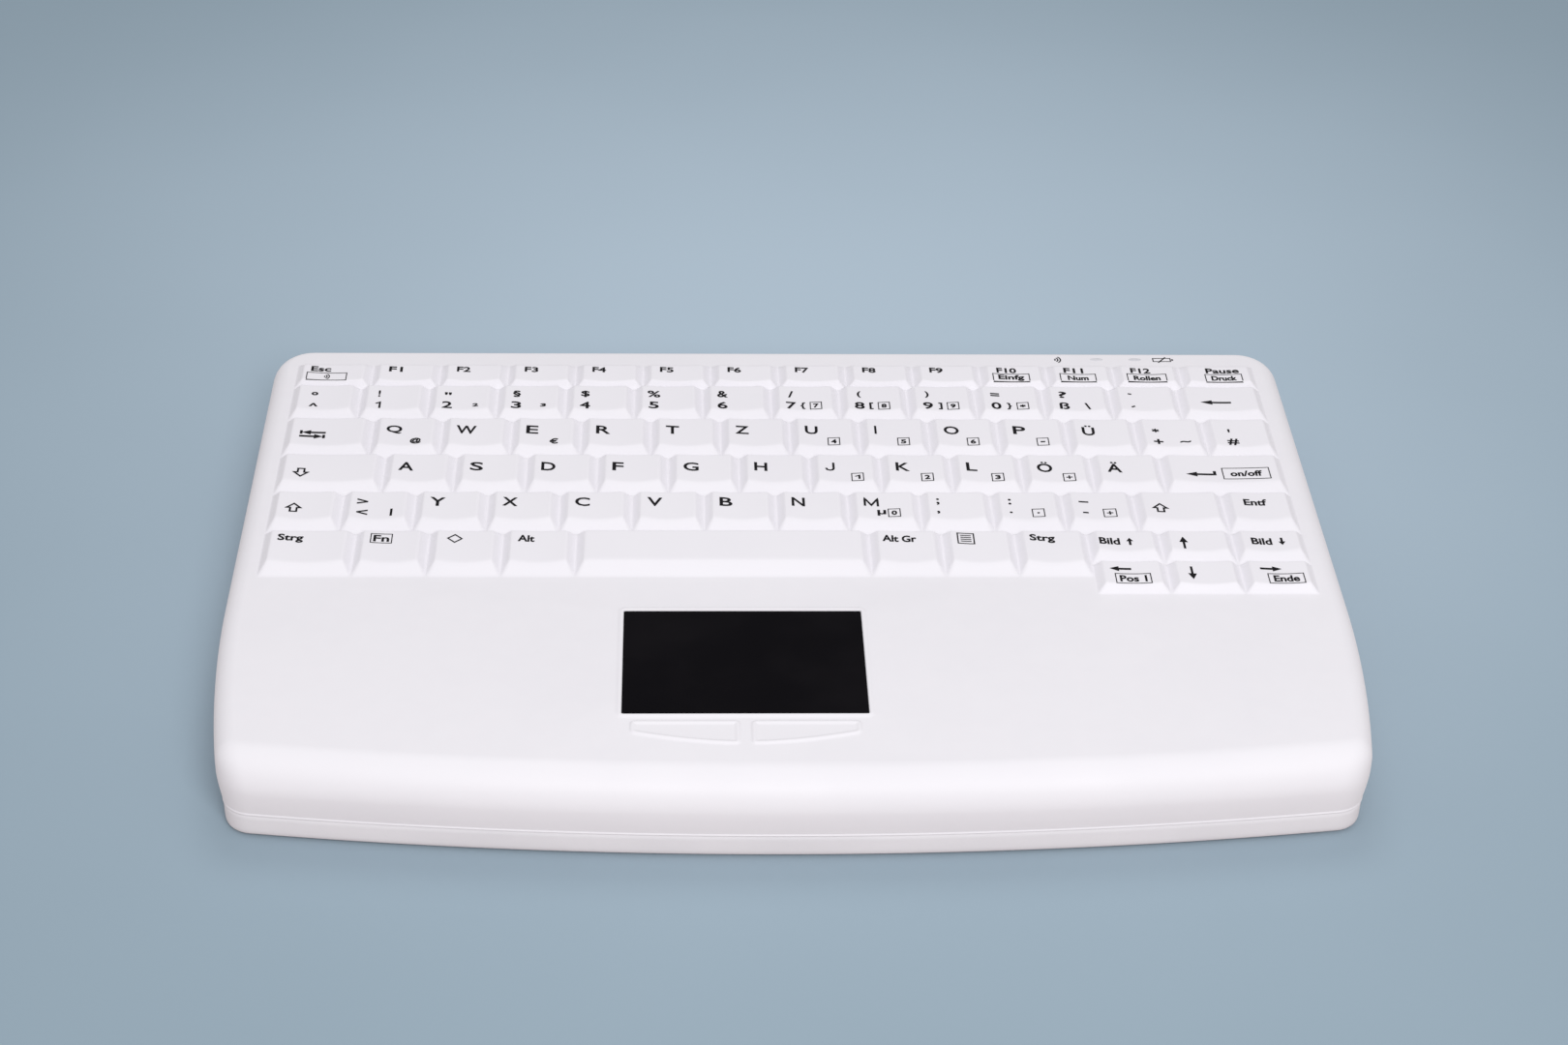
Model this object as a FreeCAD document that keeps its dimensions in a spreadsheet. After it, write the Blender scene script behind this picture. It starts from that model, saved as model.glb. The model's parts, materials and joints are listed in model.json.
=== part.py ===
"""A compact wipeable keyboard with a touchpad, as separate pieces at their real size.

Millimetres. X runs along the rows of keys, Y from the user to the rear edge, Z up.
The origin is the middle of the outline on the table, under the rubber feet.
A silicone skin covers a hard upper housing. Each key is a cap with a stem that slides
in a guide plate and presses a rubber dome onto a contact membrane.
"""
import FreeCAD
import Part
import Sketcher
import os
from math import degrees, sqrt

from FreeCAD import Placement, Rotation, Vector

doc = FreeCAD.newDocument("compact_keyboard")


# Driving dimensions

SIZES = [
    ("side_margin", 7.025, "key field to the sides of the outline"),
    ("rear_margin", 7.3, "key field to the rear edge"),
    ("palm_depth", 87.5, "palm rest in front of the main keys, at the middle"),
    ("rear_corner_radius", 11.0, "outline, rear corners"),
    ("side_bow_start", 10.7, "from the main keys forwards to where the sides start to draw in"),
    ("side_bow_radius", 390.0, "sides draw in towards the user on this radius"),
    ("front_corner_radius", 10.0, "outline, front corners"),
    ("front_bow_radius", 1000.0, "the front edge bows towards the user"),
    ("foot_height", 1.0, "rubber feet below the base"),
    ("base_height", 6.0, "band of the base below the seam"),
    ("flank_height", 8.5, "seam up to the widest line, where the front round starts"),
    ("tuck", 2.2, "flanks draw in towards the seam"),
    ("lip", 0.4, "skin overhangs the base at the seam"),
    ("front_round", 8.5, "round of the front edge"),
    ("side_round", 5.0, "round of the side edges"),
    ("rear_round", 4.0, "round of the rear edge"),
    ("base_edge", 1.2, "bevel under the base"),
    ("skin_thickness", 1.5, "silicone skin"),
    ("housing_wall", 2.0, "walls and deck of the upper housing"),
    ("base_wall", 3.0, "side wall of the base"),
    ("base_floor", 2.8, "floor of the base"),
    ("key_pitch", 19.0, "centre to centre of the letter keys"),
    ("function_row_depth", 13.3, "function row"),
    ("number_row_depth", 17.55, "number row"),
    ("bottom_row_depth", 20.15, "space bar row"),
    ("arrow_row_depth", 14.6, "each of the two short rows of the arrow block"),
    ("key_height", 2.3, "key rim above the palm rest"),
    ("key_below", 1.0, "key skirt below the palm rest"),
    ("key_side_run", 2.3, "slope of a key's sides, from the edge of its cell"),
    ("key_front_run", 1.7, "slope of a key's front"),
    ("key_rear_run", 3.5, "slope of a key's rear"),
    ("dish_depth", 0.45, "hollow of a key top"),
    ("key_travel", 2.0, "a key goes down by this much"),
    ("stem_width", 5.0, "square stem under a key"),
    ("stem_below_guide", 2.0, "stem shows below the guide plate"),
    ("skin_web", 1.0, "skin between two keys"),
    ("moving_gap", 0.3, "clearance round what moves"),
    ("seat_gap", 0.2, "clearance round what is fixed"),
    ("guide_thickness", 2.5, "key guide plate"),
    ("guide_rim", 1.6, "wall under the edge of the guide plate"),
    ("stake_width", 2.6, "square stakes that pin the key module together"),
    ("dome_gap", 0.1, "stem to dome"),
    ("dome_base", 9.0, "side of a dome at the mat"),
    ("dome_crown", 4.4, "side of a dome at its top"),
    ("dome_folded", 1.6, "height that a pressed dome keeps"),
    ("mat_thickness", 0.8, "rubber mat between the domes"),
    ("membrane_thickness", 0.4, "three printed films"),
    ("plate_thickness", 0.8, "steel backing plate"),
    ("pad_x", -12.1, "middle of the touchpad"),
    ("pad_setback", 16.2, "from the main keys forwards to the window"),
    ("pad_window_width", 59.5, "black window"),
    ("pad_window_depth", 43.8, "black window"),
    ("pad_border", 1.75, "pad under the skin round the window"),
    ("pad_thickness", 0.8, "pad surface"),
    ("pad_rim_width", 1.3, "raised rim round the window"),
    ("pad_rim_height", 0.35, "raised rim round the window"),
    ("board_thickness", 1.6, "circuit boards"),
    ("button_width", 26.0, "pad button"),
    ("button_depth", 8.9, "pad button at its inner side"),
    ("button_outer_depth", 4.6, "pad button at its outer side"),
    ("button_spacing", 3.0, "between the two pad buttons"),
    ("button_gap", 3.0, "window to the pad buttons"),
    ("button_raise", 0.3, "buttons stand proud of the skin"),
    ("button_plate", 3.0, "height of a button's plate"),
    ("button_travel", 0.4, "a pad button goes down by this much"),
    ("plunger_width", 3.0, "square plunger under a pad button"),
    ("plunger_length", 2.0, "square plunger under a pad button"),
    ("switch_width", 6.0, "tactile switch"),
    ("switch_height", 3.4, "tactile switch"),
    ("cell_radius", 7.1, "round battery cell"),
    ("cell_length", 49.2, "round battery cell without its tip"),
    ("cell_tip_radius", 2.7, "tip of a cell"),
    ("cell_tip_length", 1.3, "tip of a cell"),
    ("cell_spacing", 15.2, "between the two cells' axes"),
    ("contact_thickness", 0.5, "battery contact plate"),
    ("contact_width", 11.0, "battery contact plate"),
    ("spring_length", 4.0, "battery contact spring"),
    ("bay_wall", 1.5, "walls of the battery bay"),
    ("bay_side", 11.65, "side of the outline to the battery bay"),
    ("bay_setback", 17.2, "from the main keys forwards to the battery bay"),
    ("door_margin", 5.0, "battery door past the opening"),
    ("door_thickness", 1.4, "battery door"),
    ("door_screw_radius", 0.9, "screws of the battery door"),
    ("door_head_radius", 1.7, "screws of the battery door"),
    ("seal_width", 1.0, "door seal"),
    ("seal_thickness", 0.4, "door seal"),
    ("screw_radius", 1.2, "housing screw"),
    ("screw_head_radius", 2.7, "housing screw"),
    ("screw_head_height", 1.6, "housing screw"),
    ("screw_length", 12.0, "housing screw under its head"),
    ("screw_recess", 0.4, "screw heads below the base"),
    ("screw_gap", 0.15, "screw in its through hole"),
    ("pilot_gap", 0.05, "screw in its pilot hole"),
    ("boss_radius", 4.3, "screw boss of the base"),
    ("deck_boss_radius", 3.4, "screw boss of the upper housing"),
    ("boss_height", 4.0, "screw boss of the base above the floor"),
    ("corner_screw_side", 16.4, "screws in the front corners, from the side"),
    ("corner_screw_front", 22.4, "screws in the front corners, from the front"),
    ("front_screw_front", 18.4, "screws beside the pad buttons, from the front"),
    ("foot_radius", 5.5, "rubber foot"),
    ("foot_recess", 0.8, "rubber foot in the base"),
    ("front_foot_side", 30.4, "front feet, from the side"),
    ("front_foot_front", 24.4, "front feet, from the front"),
    ("rear_foot_side", 18.4, "rear feet, from the side"),
    ("rear_foot_rear", 17.4, "rear feet, from the rear"),
    ("rib_width", 1.5, "ribs of the base"),
    ("board_margin", 2.5, "controller board past the touchpad cable on its left"),
    ("light_margin", 5.7, "controller board past the lights on its right"),
    ("board_depth", 34.0, "controller board"),
    ("board_drop", 0.9, "backing plate down to the controller board"),
    ("chip_width", 9.0, "processor"),
    ("radio_width", 13.0, "radio module"),
    ("post_width", 4.0, "posts under the boards"),
    ("light_inset", 33.1, "right end of the key field to the last status light"),
    ("light_spacing", 11.0, "between the status lights"),
    ("light_width", 2.4, "light pipe"),
    ("light_depth", 0.9, "light pipe"),
    ("tail_width", 22.0, "membrane tail"),
    ("tail_thickness", 0.3, "flat flexible cables"),
    ("flex_inset", 7.0, "right edge of the touchpad's board to its cable"),
    ("flex_width", 8.0, "touchpad cable"),
    ("flex_drop", 3.0, "touchpad cable, from the key module forwards"),
    ("flex_overlap", 6.0, "touchpad cable on each board"),
    ("plug_height", 1.0, "sockets of the flat cables"),
    ("hook_width", 16.0, "hooks that hold the rear of the housing"),
    ("hook_thickness", 1.0, "hooks that hold the rear of the housing"),
    ("hook_reach", 4.0, "hooks above the seam"),
    ("hook_x", 78.0, "left hook from the middle"),
    ("nose_height", 1.0, "nose of a hook"),
    ("nose_length", 1.6, "nose of a hook"),
]

sheet = doc.addObject("Spreadsheet::Sheet", "sizes")
for row, (alias, size, meaning) in enumerate(SIZES, 1):
    sheet.set(f"A{row}", alias)
    sheet.set(f"B{row}", str(size))
    sheet.set(f"C{row}", meaning)
    sheet.setAlias(f"B{row}", alias)
doc.recompute()


def value(expression):
    """The number that an expression over the sheet gives."""
    return float(sheet.evalExpression(str(expression)))


# Levels, from the table up, as expressions

BASE_BOTTOM = "sizes.foot_height"
FLOOR_TOP = "(sizes.foot_height + sizes.base_floor)"
SEAM = "(sizes.foot_height + sizes.base_height)"
WIDEST = f"({SEAM} + sizes.flank_height)"
PALM = f"({WIDEST} + sizes.front_round)"
DECK_TOP = f"({PALM} - sizes.skin_thickness)"
DECK_UNDERSIDE = f"({DECK_TOP} - sizes.housing_wall)"
KEY_BOTTOM = f"({PALM} - sizes.key_below)"
KEY_TOP = f"({PALM} + sizes.key_height)"
PRESSED_BOTTOM = f"({KEY_BOTTOM} - sizes.key_travel - sizes.moving_gap)"
GUIDE_TOP = f"min({DECK_UNDERSIDE} - sizes.moving_gap; {PRESSED_BOTTOM})"
GUIDE_BOTTOM = f"({GUIDE_TOP} - sizes.guide_thickness)"
STEM_BOTTOM = f"({GUIDE_BOTTOM} - sizes.stem_below_guide)"
DOME_TOP = f"({STEM_BOTTOM} - sizes.dome_gap)"
MAT_TOP = f"({DOME_TOP} - sizes.key_travel - sizes.dome_folded)"
MAT_BOTTOM = f"({MAT_TOP} - sizes.mat_thickness)"
MEMBRANE_BOTTOM = f"({MAT_BOTTOM} - sizes.membrane_thickness)"
PLATE_BOTTOM = f"({MEMBRANE_BOTTOM} - sizes.plate_thickness)"
BOARD_TOP = f"({PLATE_BOTTOM} - sizes.board_drop)"
BOARD_BOTTOM = f"({BOARD_TOP} - sizes.board_thickness)"

# The outline and the key field, as expressions

FIELD_UNITS = 14.25
ARROW_UNITS = 3.0
FIELD_LEFT = f"(-{FIELD_UNITS / 2} * sizes.key_pitch)"
FIELD_WIDTH = f"({FIELD_UNITS} * sizes.key_pitch)"
MAIN_DEPTH = (
    "(sizes.function_row_depth + sizes.number_row_depth + 3 * sizes.key_pitch + sizes.bottom_row_depth)"
)
WIDTH = f"({FIELD_WIDTH} + 2 * sizes.side_margin)"
DEPTH = f"(sizes.rear_margin + {MAIN_DEPTH} + sizes.palm_depth)"
SIDE = f"({WIDTH} / 2)"
REAR = f"({DEPTH} / 2)"
FIELD_REAR = f"({REAR} - sizes.rear_margin)"
LETTERS_REAR = f"({FIELD_REAR} - sizes.function_row_depth - sizes.number_row_depth)"
LETTERS_FRONT = f"({LETTERS_REAR} - 3 * sizes.key_pitch)"
MAIN_FRONT = f"({LETTERS_FRONT} - sizes.bottom_row_depth)"
ARROW_FRONT = f"({LETTERS_FRONT} - 2 * sizes.arrow_row_depth)"
FIELD_FRONT = f"min({MAIN_FRONT}; {ARROW_FRONT})"
BOW_START = f"({MAIN_FRONT} - sizes.side_bow_start)"
PAD_Y = f"({MAIN_FRONT} - sizes.pad_setback - sizes.pad_window_depth / 2)"
FIELD_DEPTH = f"({FIELD_REAR} - {FIELD_FRONT})"

# Where a key has no width of its own it is one unit wide.
ONE = 1.0


def letter_keys(letters):
    """Keys that have a node each, named after their letters."""
    return [(f"key_{letter}", ONE, f"key_{letter}") for letter in letters]


def bank_keys(names, bank):
    """Keys that share one node."""
    return [(name, ONE, bank) for name in names.split()]


FUNCTION_ROW = (
    [("escape", 1.125, "function_keys")]
    + bank_keys("f1 f2 f3 f4 f5 f6 f7 f8 f9 f10 f11 f12", "function_keys")
    + [("pause", 1.125, "function_keys")]
)
NUMBER_ROW = bank_keys(
    "caret one two three four five six seven eight nine zero sharp_s accent", "number_keys"
) + [("backspace", 1.25, "backspace_key")]
UPPER_ROW = (
    [("tab", 1.25, "tab_and_caps_keys")]
    + letter_keys("qwertzuiop")
    + bank_keys("u_umlaut plus hash", "sign_keys")
)
HOME_ROW = (
    [("caps_lock", 1.5, "tab_and_caps_keys")]
    + letter_keys("asdfghjkl")
    + bank_keys("o_umlaut a_umlaut", "sign_keys")
    + [("enter", 1.75, "enter_key")]
)
LOWER_ROW = (
    [("left_shift", ONE, "left_shift_key")]
    + bank_keys("angle", "sign_keys")
    + letter_keys("yxcvbnm")
    + bank_keys("comma period dash", "sign_keys")
    + [("right_shift", 1.25, "right_shift_key"), ("delete", ONE, "navigation_keys")]
)
SPACE_ROW = (
    [("left_control", 1.25, "modifier_keys")]
    + bank_keys("function system left_alt", "modifier_keys")
    + [("space", 4.0, "space_bar")]
    + bank_keys("right_alt menu right_control", "modifier_keys")
)
UPPER_ARROWS = bank_keys("page_up arrow_up page_down", "navigation_keys")
LOWER_ARROWS = bank_keys("arrow_left arrow_down arrow_right", "navigation_keys")

# Each row: its keys, its rear edge, its depth and the units left of its first key.
ROWS = [
    (FUNCTION_ROW, FIELD_REAR, "sizes.function_row_depth", 0),
    (NUMBER_ROW, f"({FIELD_REAR} - sizes.function_row_depth)", "sizes.number_row_depth", 0),
    (UPPER_ROW, LETTERS_REAR, "sizes.key_pitch", 0),
    (HOME_ROW, f"({LETTERS_REAR} - sizes.key_pitch)", "sizes.key_pitch", 0),
    (LOWER_ROW, f"({LETTERS_REAR} - 2 * sizes.key_pitch)", "sizes.key_pitch", 0),
    (SPACE_ROW, LETTERS_FRONT, "sizes.bottom_row_depth", 0),
    (UPPER_ARROWS, LETTERS_FRONT, "sizes.arrow_row_depth", FIELD_UNITS - ARROW_UNITS),
    (
        LOWER_ARROWS,
        f"({LETTERS_FRONT} - sizes.arrow_row_depth)",
        "sizes.arrow_row_depth",
        FIELD_UNITS - ARROW_UNITS,
    ),
]


def key_cells():
    """Each key's name, node, left edge, front edge, width and depth, as expressions."""
    cells = []
    for keys, rear, depth, units in ROWS:
        for name, width, node_name in keys:
            left = f"({FIELD_LEFT} + {units} * sizes.key_pitch)"
            front = f"({rear} - {depth})"
            cells.append((name, node_name, left, front, f"({width} * sizes.key_pitch)", depth))
            units += width
    return cells


CELLS = key_cells()


# Small helpers

nodes = {}


def node(name, piece):
    """Marks an object as one of the keyboard's pieces."""
    piece.Label = name
    nodes[name] = piece
    return piece


def bind(piece, **sizes):
    """Ties properties to expressions. Two underscores stand for a dot in the property."""
    for name, expression in sizes.items():
        piece.setExpression(name.replace("__", "."), str(expression))
    return piece


def place(piece, x, y, z):
    """Ties an object's position to three expressions."""
    return bind(piece, Placement__Base__x=x, Placement__Base__y=y, Placement__Base__z=z)


def box(name, left, front, bottom, width, depth, height):
    """A box from its left front bottom corner."""
    piece = doc.addObject("Part::Box", name)
    bind(piece, Length=width, Width=depth, Height=height)
    return place(piece, left, front, bottom)


# Small round bars and holes are drawn with flats, all turned alike, so that they still fit.
FLATS = 8
FOOT_FLATS = 16


def bar(name, x, y, bottom, radius, height, flats=FLATS):
    """An upright round bar."""
    piece = doc.addObject("Part::Prism", name)
    piece.Polygon = flats
    bind(piece, Circumradius=radius, Height=height)
    return place(piece, x, y, bottom)


def frustum(name, left, front, bottom, width, depth, height, runs):
    """A block whose left, right, front and rear sides slope in by the given runs."""
    piece = doc.addObject("Part::Wedge", name)
    piece.Placement.Rotation = Rotation(Vector(1, 0, 0), 90)
    left_run, right_run, front_run, rear_run = runs
    piece.Xmin = piece.Ymin = 0
    bind(piece, Xmax=width, Ymax=height, X2min=left_run, X2max=f"{width} - {right_run}")
    # The wedge lies on its side: its own Z runs from the rear to the front.
    bind(piece, Zmin=f"-{depth}", Zmax="0", Z2min=f"-{depth} + {rear_run}", Z2max=f"-{front_run}")
    return place(piece, left, front, bottom)


def group(name, pieces):
    """Several solids in one object."""
    piece = doc.addObject("Part::Compound", name)
    piece.Links = pieces
    return piece


def fuse(name, pieces):
    piece = doc.addObject("Part::MultiFuse", name)
    piece.Shapes = pieces
    return piece


def cut(name, base, tools):
    """base without the tools, which may touch but don't overlap each other."""
    piece = doc.addObject("Part::Cut", name)
    piece.Base = base
    piece.Tool = tools[0] if len(tools) == 1 else group(f"{name}_tools", tools)
    return piece


def body(name):
    return doc.addObject("PartDesign::Body", name)


def sketch(owner, name, role="XY_Plane", level="0"):
    """A sketch on one of a body's own origin planes, lifted to a level."""
    piece = owner.newObject("Sketcher::SketchObject", name)
    plane = next(feature for feature in owner.Origin.OriginFeatures if feature.Role == role)
    piece.AttachmentSupport = (plane, [""])
    piece.MapMode = "FlatFace"
    return bind(piece, AttachmentOffset__Base__z=level)


def datum(profile, kind, first, second, expression):
    """A dimension of a sketch between two points, tied to an expression."""
    rule = Sketcher.Constraint(kind, *first, *second, value(expression))
    index = profile.addConstraint(rule)
    profile.setExpression(f"Constraints[{index}]", expression)


ORIGIN_POINT = (-1, 1)


def polygon(profile, corners):
    """A closed outline in a sketch, each corner at two expressions."""
    points = [Vector(value(x), value(y), 0) for x, y in corners]
    count = len(points)
    lines = [Part.LineSegment(points[i], points[(i + 1) % count]) for i in range(count)]
    first = profile.addGeometry(lines, False)[0]
    for i in range(count):
        following = first + (i + 1) % count
        profile.addConstraint(Sketcher.Constraint("Coincident", first + i, 2, following, 1))
    for i, (x, y) in enumerate(corners):
        datum(profile, "DistanceX", ORIGIN_POINT, (first + i, 1), x)
        datum(profile, "DistanceY", ORIGIN_POINT, (first + i, 1), y)
    return profile


def pad(owner, name, profile, length, reverse=False):
    piece = owner.newObject("PartDesign::Pad", name)
    piece.Profile = profile
    piece.Reversed = reverse
    return bind(piece, Length=length)


# The outline in plan

# Straight lines that make each corner.
CORNER_FLATS = 4

def outline_edges(side, front=None, rear=None):
    """The outline, moved in by a distance: lines and bows, mirrored about X 0.

    The front and the rear may move in by other distances than the sides.
    """
    front = side if front is None else front
    rear = side if rear is None else rear
    half = value(SIDE)
    depth = value(REAR)
    bow_start = value(BOW_START)
    side_radius = value("sizes.side_bow_radius")
    front_radius = value("sizes.front_bow_radius")

    corner_radius = value("sizes.front_corner_radius") - max(side, front)
    side_centre = Vector(half - side_radius, bow_start, 0)
    front_centre = Vector(0, front_radius - depth, 0)
    side_radius -= side
    front_radius -= front
    corner_centre = circle_meeting(
        side_centre, side_radius - corner_radius, front_centre, front_radius - corner_radius
    )
    side_end = towards(side_centre, corner_centre, side_radius)
    front_end = towards(front_centre, corner_centre, front_radius)

    rear_radius = value("sizes.rear_corner_radius") - max(side, rear)
    rear_centre = Vector(half - side - rear_radius, depth - rear - rear_radius, 0)
    rear_start = Vector(rear_centre.x, depth - rear, 0)
    rear_end = Vector(half - side, rear_centre.y, 0)
    side_start = Vector(half - side, bow_start, 0)
    side_middle = towards(side_centre, (side_start + side_end) * 0.5, side_radius)

    right = (
        corner_lines(rear_centre, rear_start, rear_end)
        + [(rear_end, side_start), (side_start, side_middle, side_end)]
        + corner_lines(corner_centre, side_end, front_end)
    )
    left = [tuple(mirrored(point) for point in points[::-1]) for points in right[::-1]]
    rear_line = (mirrored(rear_start), rear_start)
    front_bow = (front_end, Vector(0, front - depth, 0), mirrored(front_end))
    return [
        Part.Arc(*points) if len(points) == 3 else Part.LineSegment(*points)
        for points in [rear_line, *right, front_bow, *left]
    ]


def corner_lines(centre, start, end):
    """A corner drawn in short straight lines, clockwise from start to end."""
    angle = degrees((start - centre).getAngle(end - centre))
    turns = [Rotation(Vector(0, 0, -1), angle * i / CORNER_FLATS) for i in range(CORNER_FLATS)]
    points = [centre + turn.multVec(start - centre) for turn in turns] + [end]
    return list(zip(points, points[1:]))


def mirrored(point):
    return Vector(-point.x, point.y, point.z)


def towards(start, target, distance):
    """The point at a distance from start on the ray through target."""
    return start + (target - start).normalize() * distance


def circle_meeting(first, first_radius, second, second_radius):
    """Where two circles meet in the front right quarter."""
    apart = second - first
    distance = apart.Length
    along = (first_radius**2 - second_radius**2 + distance**2) / (2 * distance)
    across = sqrt(first_radius**2 - along**2)
    direction = apart * (1 / distance)
    middle = first + direction * along
    normal = Vector(direction.y, -direction.x, 0)
    choices = [middle + normal * across, middle - normal * across]
    return min(choices, key=lambda point: point.y)


def outline_sketch(owner, name, level, *insets):
    profile = sketch(owner, name, level=level)
    profile.addGeometry(outline_edges(*(value(inset) for inset in insets)), False)
    return profile


# The crowned form that the skin and the upper housing share

# The rounds of the upper edge are drawn in flat steps, at these shares of the front round's height.
OUTSIDE_STEPS = (0.5, 0.85, 1.0)
HIDDEN_STEPS = (0.6, 1.0)
INSIDE_STEPS = (1.0,)


def round_inset(edge, inset, share):
    """How far a round has moved in at a share of the height of the front round."""
    radius = value(f"sizes.{edge}_round - {inset}")
    height = value(f"sizes.front_round - {inset}")
    climb = max(radius - height * (1 - share), 0.0)
    return radius - sqrt(radius**2 - climb**2)


def crowned_form(name, inset, steps):
    """The upper form, moved in by a distance: tucked flanks, an upright band and a rounded edge."""
    owner = body(name)
    seam = outline_sketch(owner, f"{name}_seam", SEAM, f"{inset} + sizes.tuck")
    sections = [outline_sketch(owner, f"{name}_widest", WIDEST, inset)]
    for share in steps:
        level = f"{WIDEST} + (sizes.front_round - {inset}) * {share}"
        insets = [
            f"{inset} + {round_inset(edge, inset, share)}" for edge in ("side", "front", "rear")
        ]
        sections.append(outline_sketch(owner, f"{name}_round_{len(sections)}", level, *insets))
    loft = owner.newObject("PartDesign::AdditiveLoft", f"{name}_loft")
    loft.Profile = seam
    loft.Sections = sections
    loft.Ruled = True
    owner.Tip = loft
    return owner


# Keys

BASE_INSET = "(sizes.skin_web / 2 + sizes.moving_gap)"
SKIRT = "(sizes.key_below + sizes.key_height)"


def slope(run):
    """How far a key's side moves in from its foot to its rim."""
    return f"({run} - {BASE_INSET})"


def key_block(name, left, front, width, depth):
    """The tapered outside of a key."""
    runs = [slope(f"sizes.key_{side}_run") for side in ("side", "side", "front", "rear")]
    return frustum(
        f"{name}_block",
        f"({left} + {BASE_INSET})",
        f"({front} + {BASE_INSET})",
        KEY_BOTTOM,
        f"({width} - 2 * {BASE_INSET})",
        f"({depth} - 2 * {BASE_INSET})",
        SKIRT,
        runs,
    )


# The hollow of a key top has a flat floor over this share of its width and slopes up on both sides.
DISH_FLOOR = 0.36


def key_dish(name, left, front, width, depth):
    """The shallow trough that hollows a key top across its width."""
    span = f"({width} - 2 * sizes.key_side_run + sizes.moving_gap)"
    rise = f"({span} * {(1 - DISH_FLOOR) / 2})"
    floor_left = f"{left} + {width} / 2 - {span} * {DISH_FLOOR / 2}"
    runs = [f"-{rise}", f"-{rise}", "0", "0"]
    bottom = f"({KEY_TOP} - sizes.dish_depth)"
    return frustum(
        f"{name}_dish", floor_left, front, bottom, f"({span} * {DISH_FLOOR})", depth, "sizes.dish_depth", runs
    )


# A key this wide has three stems, so that it can't tip when it is pressed near an end.
WIDE_KEY = 60.0


def stem_centres(left, front, width, depth):
    """Where a key's stems stand, as expressions."""
    middle = f"({front} + {depth} / 2)"
    shares = (0.2, 0.5, 0.8) if value(width) > WIDE_KEY else (0.5,)
    return [(f"({left} + {share} * {width})", middle) for share in shares]


def square(name, x, y, bottom, side, height):
    """An upright square bar about a point."""
    return box(name, f"{x} - {side} / 2", f"{y} - {side} / 2", bottom, side, side, height)


def key_stems(name, *cell):
    height = f"{KEY_BOTTOM} - {STEM_BOTTOM}"
    return [
        square(f"{name}_stem_{index}", x, y, STEM_BOTTOM, "sizes.stem_width", height)
        for index, (x, y) in enumerate(stem_centres(*cell))
    ]


def build_keys():
    """Every key, with the keys of a bank in one node."""
    banks = {}
    for name, node_name, *cell in CELLS:
        cap = cut(f"{name}_cap", key_block(name, *cell), [key_dish(name, *cell)])
        key = fuse(f"{name}_solid", [cap] + key_stems(name, *cell))
        banks.setdefault(node_name, []).append(key)
    for node_name, keys in banks.items():
        node(node_name, keys[0] if len(keys) == 1 else group(node_name, keys))


# Cover skin and upper housing


def key_openings(name, bottom, height):
    """One opening for each key through the skin."""
    inset = "(sizes.skin_web / 2)"
    return [
        box(
            f"{name}_{key}",
            f"{left} + {inset}",
            f"{front} + {inset}",
            bottom,
            f"{width} - 2 * {inset}",
            f"{depth} - 2 * {inset}",
            height,
        )
        for key, _, left, front, width, depth in CELLS
    ]


def pad_block(name, margin, bottom, height):
    """A block as large as the touchpad window and a margin all round."""
    return box(
        name,
        f"sizes.pad_x - sizes.pad_window_width / 2 - {margin}",
        f"{PAD_Y} - sizes.pad_window_depth / 2 - {margin}",
        bottom,
        f"sizes.pad_window_width + 2 * {margin}",
        f"sizes.pad_window_depth + 2 * {margin}",
        height,
    )


BUTTON_REAR = f"({PAD_Y} - sizes.pad_window_depth / 2 - sizes.button_gap)"


def button_body(name, side, margin, level, height):
    """The plan shape of a pad button: straight behind, its front edge sweeping back outwards."""
    owner = body(name)
    profile = sketch(owner, f"{name}_outline", level=level)
    inner = f"(sizes.pad_x + {side} * (sizes.button_spacing / 2 - {margin}))"
    outer = f"(sizes.pad_x + {side} * (sizes.button_spacing / 2 + sizes.button_width + {margin}))"
    rear = f"({BUTTON_REAR} + {margin})"
    corners = [
        (inner, rear),
        (outer, rear),
        (outer, f"({BUTTON_REAR} - sizes.button_outer_depth - {margin})"),
        (inner, f"({BUTTON_REAR} - sizes.button_depth - {margin})"),
    ]
    polygon(profile, corners)
    owner.Tip = pad(owner, f"{name}_pad", profile, height)
    return owner


def build_cover_skin(outer, inner):
    shell = cut("skin_shell", outer, [inner])
    rim = pad_block("pad_rim", "sizes.pad_rim_width", PALM, "sizes.pad_rim_height")
    rimmed = fuse("skin_with_rim", [shell, rim])
    through = "(sizes.skin_thickness + sizes.pad_rim_height)"
    openings = key_openings("skin_opening", DECK_TOP, "sizes.skin_thickness")
    openings.append(pad_block("pad_window", "0", DECK_TOP, through))
    for word, side in (("left", -1), ("right", 1)):
        name = f"skin_button_opening_{word}"
        openings.append(button_body(name, side, "sizes.moving_gap", DECK_TOP, "sizes.skin_thickness"))
    node("cover_skin", cut("cover_skin", rimmed, openings))


# The hooks of the base stand behind the key module, each at a place along X.
HOOK_FRONT = f"({FIELD_REAR} + sizes.moving_gap)"


def hook_nose(name, x, margin):
    """A hook's nose, or the pocket in the upper housing that takes it with a margin."""
    rear = f"({HOOK_FRONT} + sizes.hook_thickness)"
    bottom = f"({SEAM} + sizes.hook_reach - sizes.nose_height)"
    return box(
        name,
        f"{x} - sizes.hook_width / 2 - {margin}",
        rear,
        f"{bottom} - {margin}",
        f"sizes.hook_width + 2 * {margin}",
        f"sizes.nose_length + {margin}",
        f"sizes.nose_height + 2 * {margin}",
    )


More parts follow.
